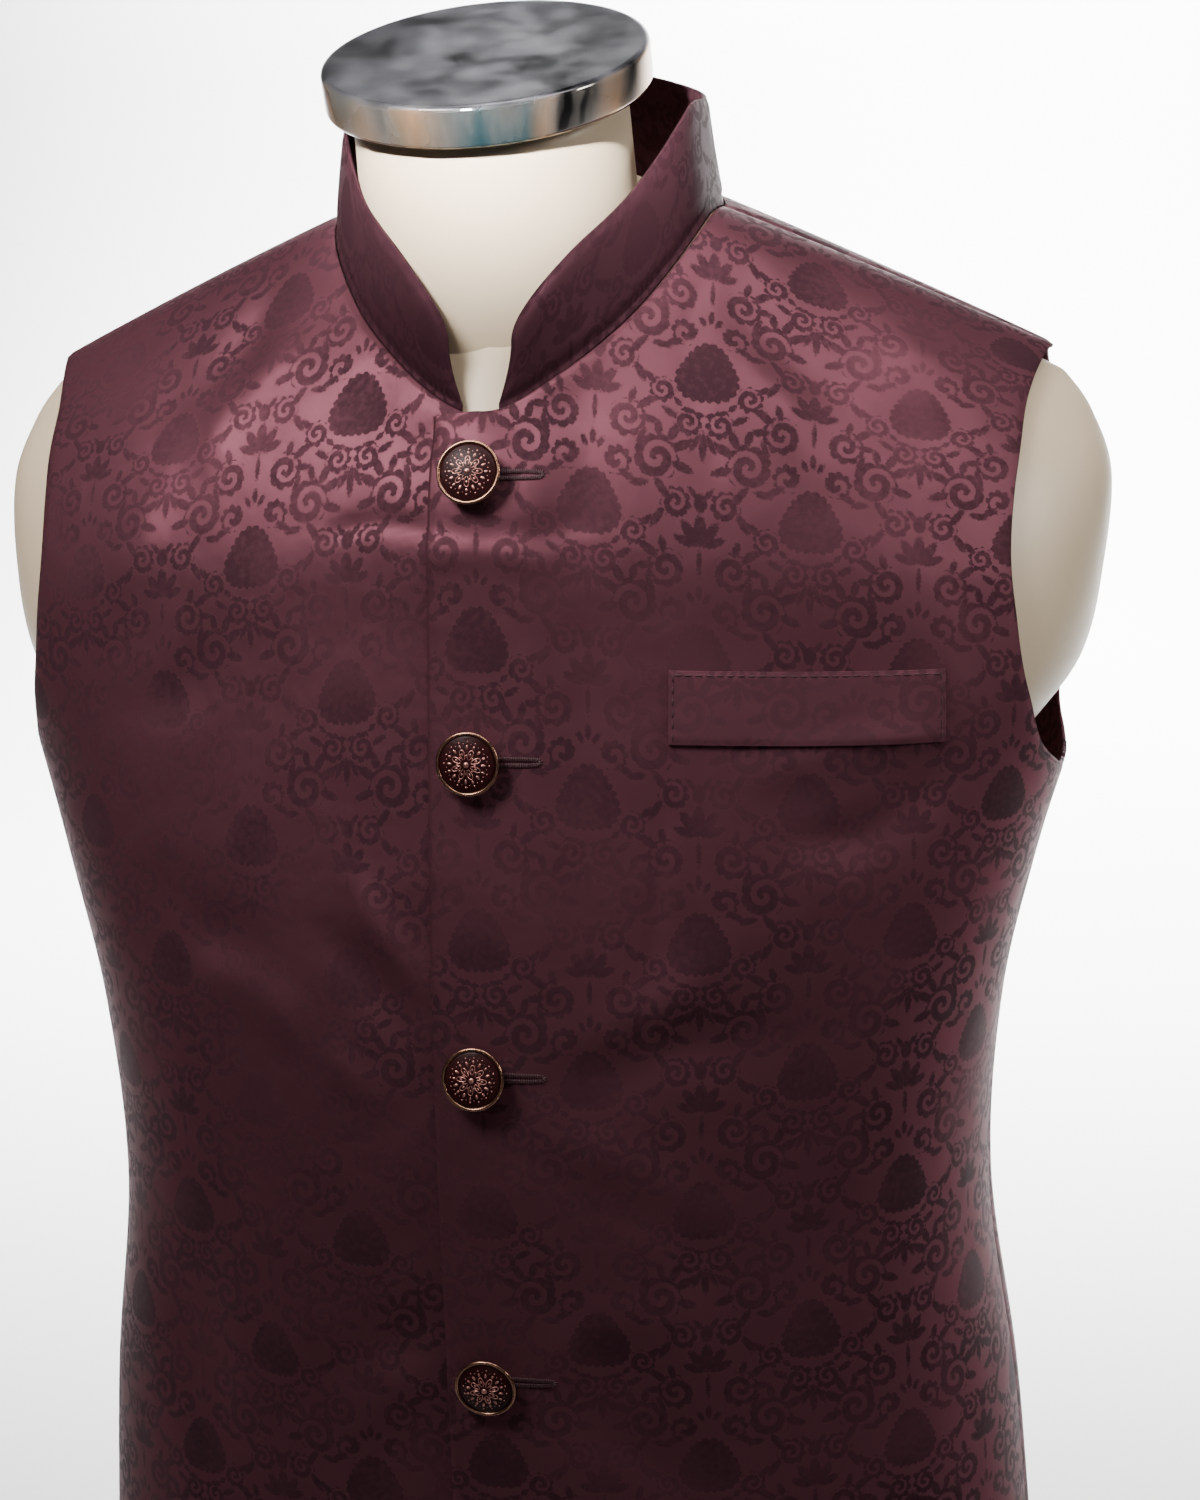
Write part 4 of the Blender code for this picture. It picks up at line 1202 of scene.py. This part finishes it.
BUTTON_RADIUS = 0.0112
BUTTON_TILTS = (0.0, 2.0, -7.0, 6.0, 3.0)
BUTTON_COLUMNS = 64
BUTTON_SPIN = 0.35  # radians from one button's rosette to the next one's
RIM_RADIUS, RIM_HEIGHT = 0.00065, 0.0049
DOME_RADIUS = 0.0099
DOME_FOOT, DOME_TOP = 0.0050, 0.0068
SHANK = ((0.0097, 0.0030), (0.0034, 0.0030), (0.0030, 0.0024), (0.0030, 0.0), (0.0, 0.0))
WIRE_RADIUS = 0.00018
CENTRE_BEAD = 0.00105
BRASS, BRASS_DULL = (0.52, 0.30, 0.20, 1.0), (0.26, 0.12, 0.08, 1.0)
ROSE_GOLD, ROSE_DULL = (0.80, 0.42, 0.36, 1.0), (0.52, 0.20, 0.18, 1.0)
ENAMEL, ENAMEL_LIT = (0.012, 0.003, 0.004, 1.0), (0.042, 0.008, 0.009, 1.0)


def dome_height(radius):
    """The dome's height: a parabola from its top to its foot."""
    return DOME_FOOT + (DOME_TOP - DOME_FOOT) * (1.0 - (radius / DOME_RADIUS) ** 2)


def button_axes(number, drop):
    """(foot, 3x3 axes) of a button, its third axis facing out and nodding by its tilt."""
    middle = np.zeros(1)
    level = level_of_z(middle, middle + FIRST_BUTTON_Z - drop, -1)
    foot = lifted(middle, level, -1, middle + LAP_LIFT + 2 * SEAM_GAP)[0]
    skin = lifted(middle, level, -1, middle)[0]
    nod = np.array(Matrix.Rotation(np.radians(BUTTON_TILTS[number]), 3, "X"))
    out = nod @ unit(foot - skin)
    across = unit(np.cross(UP, out))
    return foot, np.stack([across, np.cross(out, across), out], axis=1)


def button_profile():
    """The metal: rolled rim, back plate and shank, from the rim's inside round to the foot."""
    angle = np.radians(np.linspace(200.0, -90.0, 16))
    circle = np.stack([np.cos(angle), np.sin(angle)], axis=1)
    rim = np.array([BUTTON_RADIUS - RIM_RADIUS, RIM_HEIGHT]) + RIM_RADIUS * circle
    start = np.array([(0.0, DOME_FOOT - 0.0006), (0.0088, DOME_FOOT - 0.0006)])
    return np.concatenate([start, rim, SHANK])[::-1]


def dome_profile():
    radii = np.linspace(DOME_RADIUS, 0.0, 16)
    top = np.stack([radii, dome_height(radii)], axis=1)
    foot = np.array([(0.0, DOME_FOOT - 0.0005), (DOME_RADIUS, DOME_FOOT - 0.0005)])
    return np.concatenate([foot, top])


def wire(path, radius):
    """A closed tube on the dome along path rows (x, y): rings of six points."""
    height = dome_height(np.linalg.norm(path, axis=1))
    line = np.concatenate([path, height[:, None]], axis=1)
    side = unit(np.cross(unit(np.gradient(line, axis=0)), UP))[:, None, :]
    share = np.linspace(-1.0, 1.0, len(line))[:, None, None]
    size = radius * np.sqrt(np.clip(1.0 - share**6, 0.0, 1.0))
    angle = np.linspace(0.0, 2 * np.pi, 7)[:-1][None, :, None]
    return line[:, None, :] + size * (np.cos(angle) * UP + np.sin(angle) * side)


def turned_flat(along, across, turn):
    """(x, y) of a place given along and across the direction turn."""
    x = along * np.cos(turn) - across * np.sin(turn)
    return x, along * np.sin(turn) + across * np.cos(turn)


def bead(x, y, radius, length=1.0, turn=0.0):
    """A flat ball on the dome, stretched by length in the direction of turn."""
    rise = np.linspace(-np.pi / 2, np.pi / 2, 7)[:, None]
    angle = np.linspace(0.0, 2 * np.pi, 11)[None, :-1]
    ring = radius * np.cos(rise)
    off_x, off_y = turned_flat(ring * length * np.cos(angle), ring * np.sin(angle), turn)
    height = 0.55 * radius * np.sin(rise) + 0.0 * angle + dome_height(np.hypot(x, y))
    return np.stack([x + off_x, y + off_y, height], axis=-1)


def petal_path(turn):
    """A looped petal: a narrow closed drop outline from the centre bead outwards."""
    at = np.linspace(0.04, 0.96, 22) * 2 * np.pi
    along = 0.0035 - 0.0018 * np.cos(at)
    across = 0.00078 * np.sin(at) * (1.0 - 0.35 * np.cos(at))
    return np.stack(turned_flat(along, across, turn), axis=1)


def rosette_parts():
    """Centre bead, a ring of small beads, eight looped petals, eight drops and dots between."""
    parts = [bead(0.0, 0.0, CENTRE_BEAD)]
    for number in range(8):
        turn = number * np.pi / 4
        between_turn = turn + np.pi / 8
        parts.append(wire(petal_path(turn), WIRE_RADIUS))
        spots = (  # distance from the centre, direction, size, stretch
            (0.0037, turn, 0.00034, 1.6),
            (0.0064, turn, 0.00040, 1.7),
            (0.0059, between_turn, 0.00046, 2.1),
            (0.0079, between_turn, 0.00030, 1.0),
            (0.0078, turn, 0.00030, 1.0),
            (0.0031, between_turn, 0.00026, 1.8),
            (0.0072, turn + np.pi / 16, 0.00018, 1.0),
            (0.0072, turn - np.pi / 16, 0.00018, 1.0),
        )
        for distance, way, size, length in spots:
            parts.append(bead(distance * np.cos(way), distance * np.sin(way), size, length, way))
    return parts


def metal_finish(name, colours, metallic, grain, detail, rough, rough_grain):
    """Plated metal whose colour and roughness drift at random between bright and dulled or
    tarnished.
    """
    made, tree, shader = mottled(name, colours, grain, detail, rough, rough_grain)
    feed(tree, shader, {"Metallic": metallic})
    return made


def enamel_finish():
    """Near-black maroon enamel with a stippled ground."""
    colours = (ENAMEL, ENAMEL_LIT)
    made, tree, shader = mottled("button_enamel", colours, 800.0, 3.0, (0.26, 0.46), 400.0)
    stipple = bumped(tree, noise(tree, 1500.0, 2.0), 0.35, 0.0003)
    feed(tree, shader, {"Specular IOR Level": 0.16, "Normal": stipple})
    return made


brass = metal_finish("button_brass", (BRASS, BRASS_DULL), 1.0, 260.0, 4.0, (0.20, 0.34), 240.0)
rose_gold = metal_finish(
    "button_rose_gold", (ROSE_GOLD, ROSE_DULL), 0.9, 700.0, 2.0, (0.2, 0.42), 600.0
)
enamel = enamel_finish()
button_metal = turned(button_profile(), BUTTON_COLUMNS)
button_dome = turned(dome_profile(), BUTTON_COLUMNS)
rosette = rosette_parts()
for number, drop in enumerate(BUTTON_DROPS):
    foot, axes = button_axes(number, drop)
    spin = np.array(Matrix.Rotation(number * BUTTON_SPIN, 3, "Z"))
    layers = (
        ("metal", [button_metal], brass),
        ("enamel", [button_dome], enamel),
        ("rosette", rosette, rose_gold),
    )
    for layer, parts, finish in layers:
        placed = [part @ spin.T @ axes.T + foot for part in parts]
        piece = put(rings_mesh(f"button_{number + 1}_{layer}", placed), finish)
        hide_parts(f"button_{number + 1}")


# ---- The studio ------------------------------------------------------------------------------
# A pale floor that curves up behind and has its own lights, a soft key light from above the
# wearer's right, small narrow lights for the shoulders, form and neck, and a very dim sky.

FLOOR_HALF = 3.0
WALL_PLACE = 1.9  # where the floor starts to curve up, behind
WALL_BEND = 0.8
WALL_TOP = 3.2
FLOOR_START = -2.5
FLOOR_DROP = 0.0002  # the floor lies a hair below the form's base
FLOOR_PALE, FLOOR_WARM = (0.86, 0.86, 0.86, 1.0), (0.84, 0.84, 0.835, 1.0)
FLOOR_ROUGH = 0.8
SKY_COLOUR, SKY_STRENGTH = (0.94, 0.96, 1.0, 1.0), 0.03


def studio_floor():
    """A plain pale sheet: a flat floor, a quarter bend behind, and a wall."""
    floor_y = np.linspace(FLOOR_START, WALL_PLACE, 8)
    turn = np.linspace(0.0, np.pi / 2, 13)[1:]
    bend_y = WALL_PLACE + WALL_BEND * np.sin(turn)
    bend_z = WALL_BEND * (1.0 - np.cos(turn))
    y = np.concatenate([floor_y, bend_y, bend_y[-1:]])[:, None]
    z = np.concatenate([0.0 * floor_y, bend_z, [WALL_TOP]])[:, None] - FLOOR_DROP
    x = np.linspace(-FLOOR_HALF, FLOOR_HALF, 7)[None, :]
    points = np.stack([x + 0.0 * y, y + 0.0 * x, z + 0.0 * x], axis=-1)
    made, tree, shader = new_material("pale_floor")
    pale = blend_colours(tree, FLOOR_PALE, FLOOR_WARM, noise(tree, 3.0))
    feed(tree, shader, {"Base Color": pale, "Roughness": FLOOR_ROUGH})
    floor = shown(mesh_of("studio_floor", points, grid_faces(*points.shape[:2])), made)
    floor.visible_diffuse = False


LIGHTS = (  # name, place, aim, size, power, spread in degrees, colour
    ("key", (-0.40, -0.62, 1.32), (-0.13, 0.0, 0.70), (0.46, 0.34), 2.1, 66, (1.0, 0.96, 0.94)),
    ("shoulders", (0.40, -0.30, 1.36), (0.12, 0.0, 0.72), (0.36, 0.22), 0.32, 60, (1.0, 0.95, 0.93)),
    ("low_front", (0.10, -1.35, 0.45), (0.02, 0.0, 0.30), (0.14, 0.50), 0.06, 70, (1.0, 0.96, 0.94)),
    ("form", (1.30, -0.30, 1.10), (0.27, 0.0, 0.66), (0.30, 0.60), 0.35, 24, (1.0, 0.98, 0.95)),
    ("neck", (-0.05, -0.90, 1.10), (0.0, 0.0, 0.78), (0.08, 0.08), 0.6, 9, (1.0, 0.98, 0.95)),
    ("overhead", (-0.02, -0.02, 1.80), (0.0, 0.0, 0.75), (1.2, 0.12), 0.8, 50, (1.0, 0.97, 0.95)),
    ("backdrop_left", (-0.5, 0.8, 1.5), (-0.3, 2.9, 1.1), (0.8, 0.6), 85.0, 90, (1.0, 1.0, 1.0)),
    ("backdrop_right", (0.5, 0.8, 1.5), (0.3, 2.9, 1.1), (0.8, 0.6), 85.0, 90, (1.0, 1.0, 1.0)),
    ("floor_behind", (0.0, 1.7, 2.3), (0.0, 1.8, 0.0), (3.0, 1.2), 230.0, 80, (1.0, 1.0, 1.0)),
)


def soft_light(name, place, aim, size, power, spread, colour):
    """A rectangular soft light at place that faces aim; its beam opens by spread degrees."""
    data = bpy.data.lights.new(name, "AREA")
    data.shape = "RECTANGLE"
    data.size, data.size_y = size
    data.energy = power
    data.spread = np.radians(spread)
    data.color = colour
    light = bpy.data.objects.new(name, data)
    turn = (Vector(aim) - Vector(place)).to_track_quat("-Z", "Y").to_matrix().to_4x4()
    light.matrix_world = Matrix.Translation(Vector(place)) @ turn
    bpy.context.scene.collection.objects.link(light)


def studio_sky():
    """A dim, even sky, so that the cloth stays deep where no light reaches it."""
    world = bpy.data.worlds.new("studio")
    bpy.context.scene.world = world
    world.use_nodes = True
    background = world.node_tree.nodes["Background"]
    background.inputs["Color"].default_value = SKY_COLOUR
    background.inputs["Strength"].default_value = SKY_STRENGTH


studio_floor()
studio_sky()
for row in LIGHTS:
    soft_light(*row)
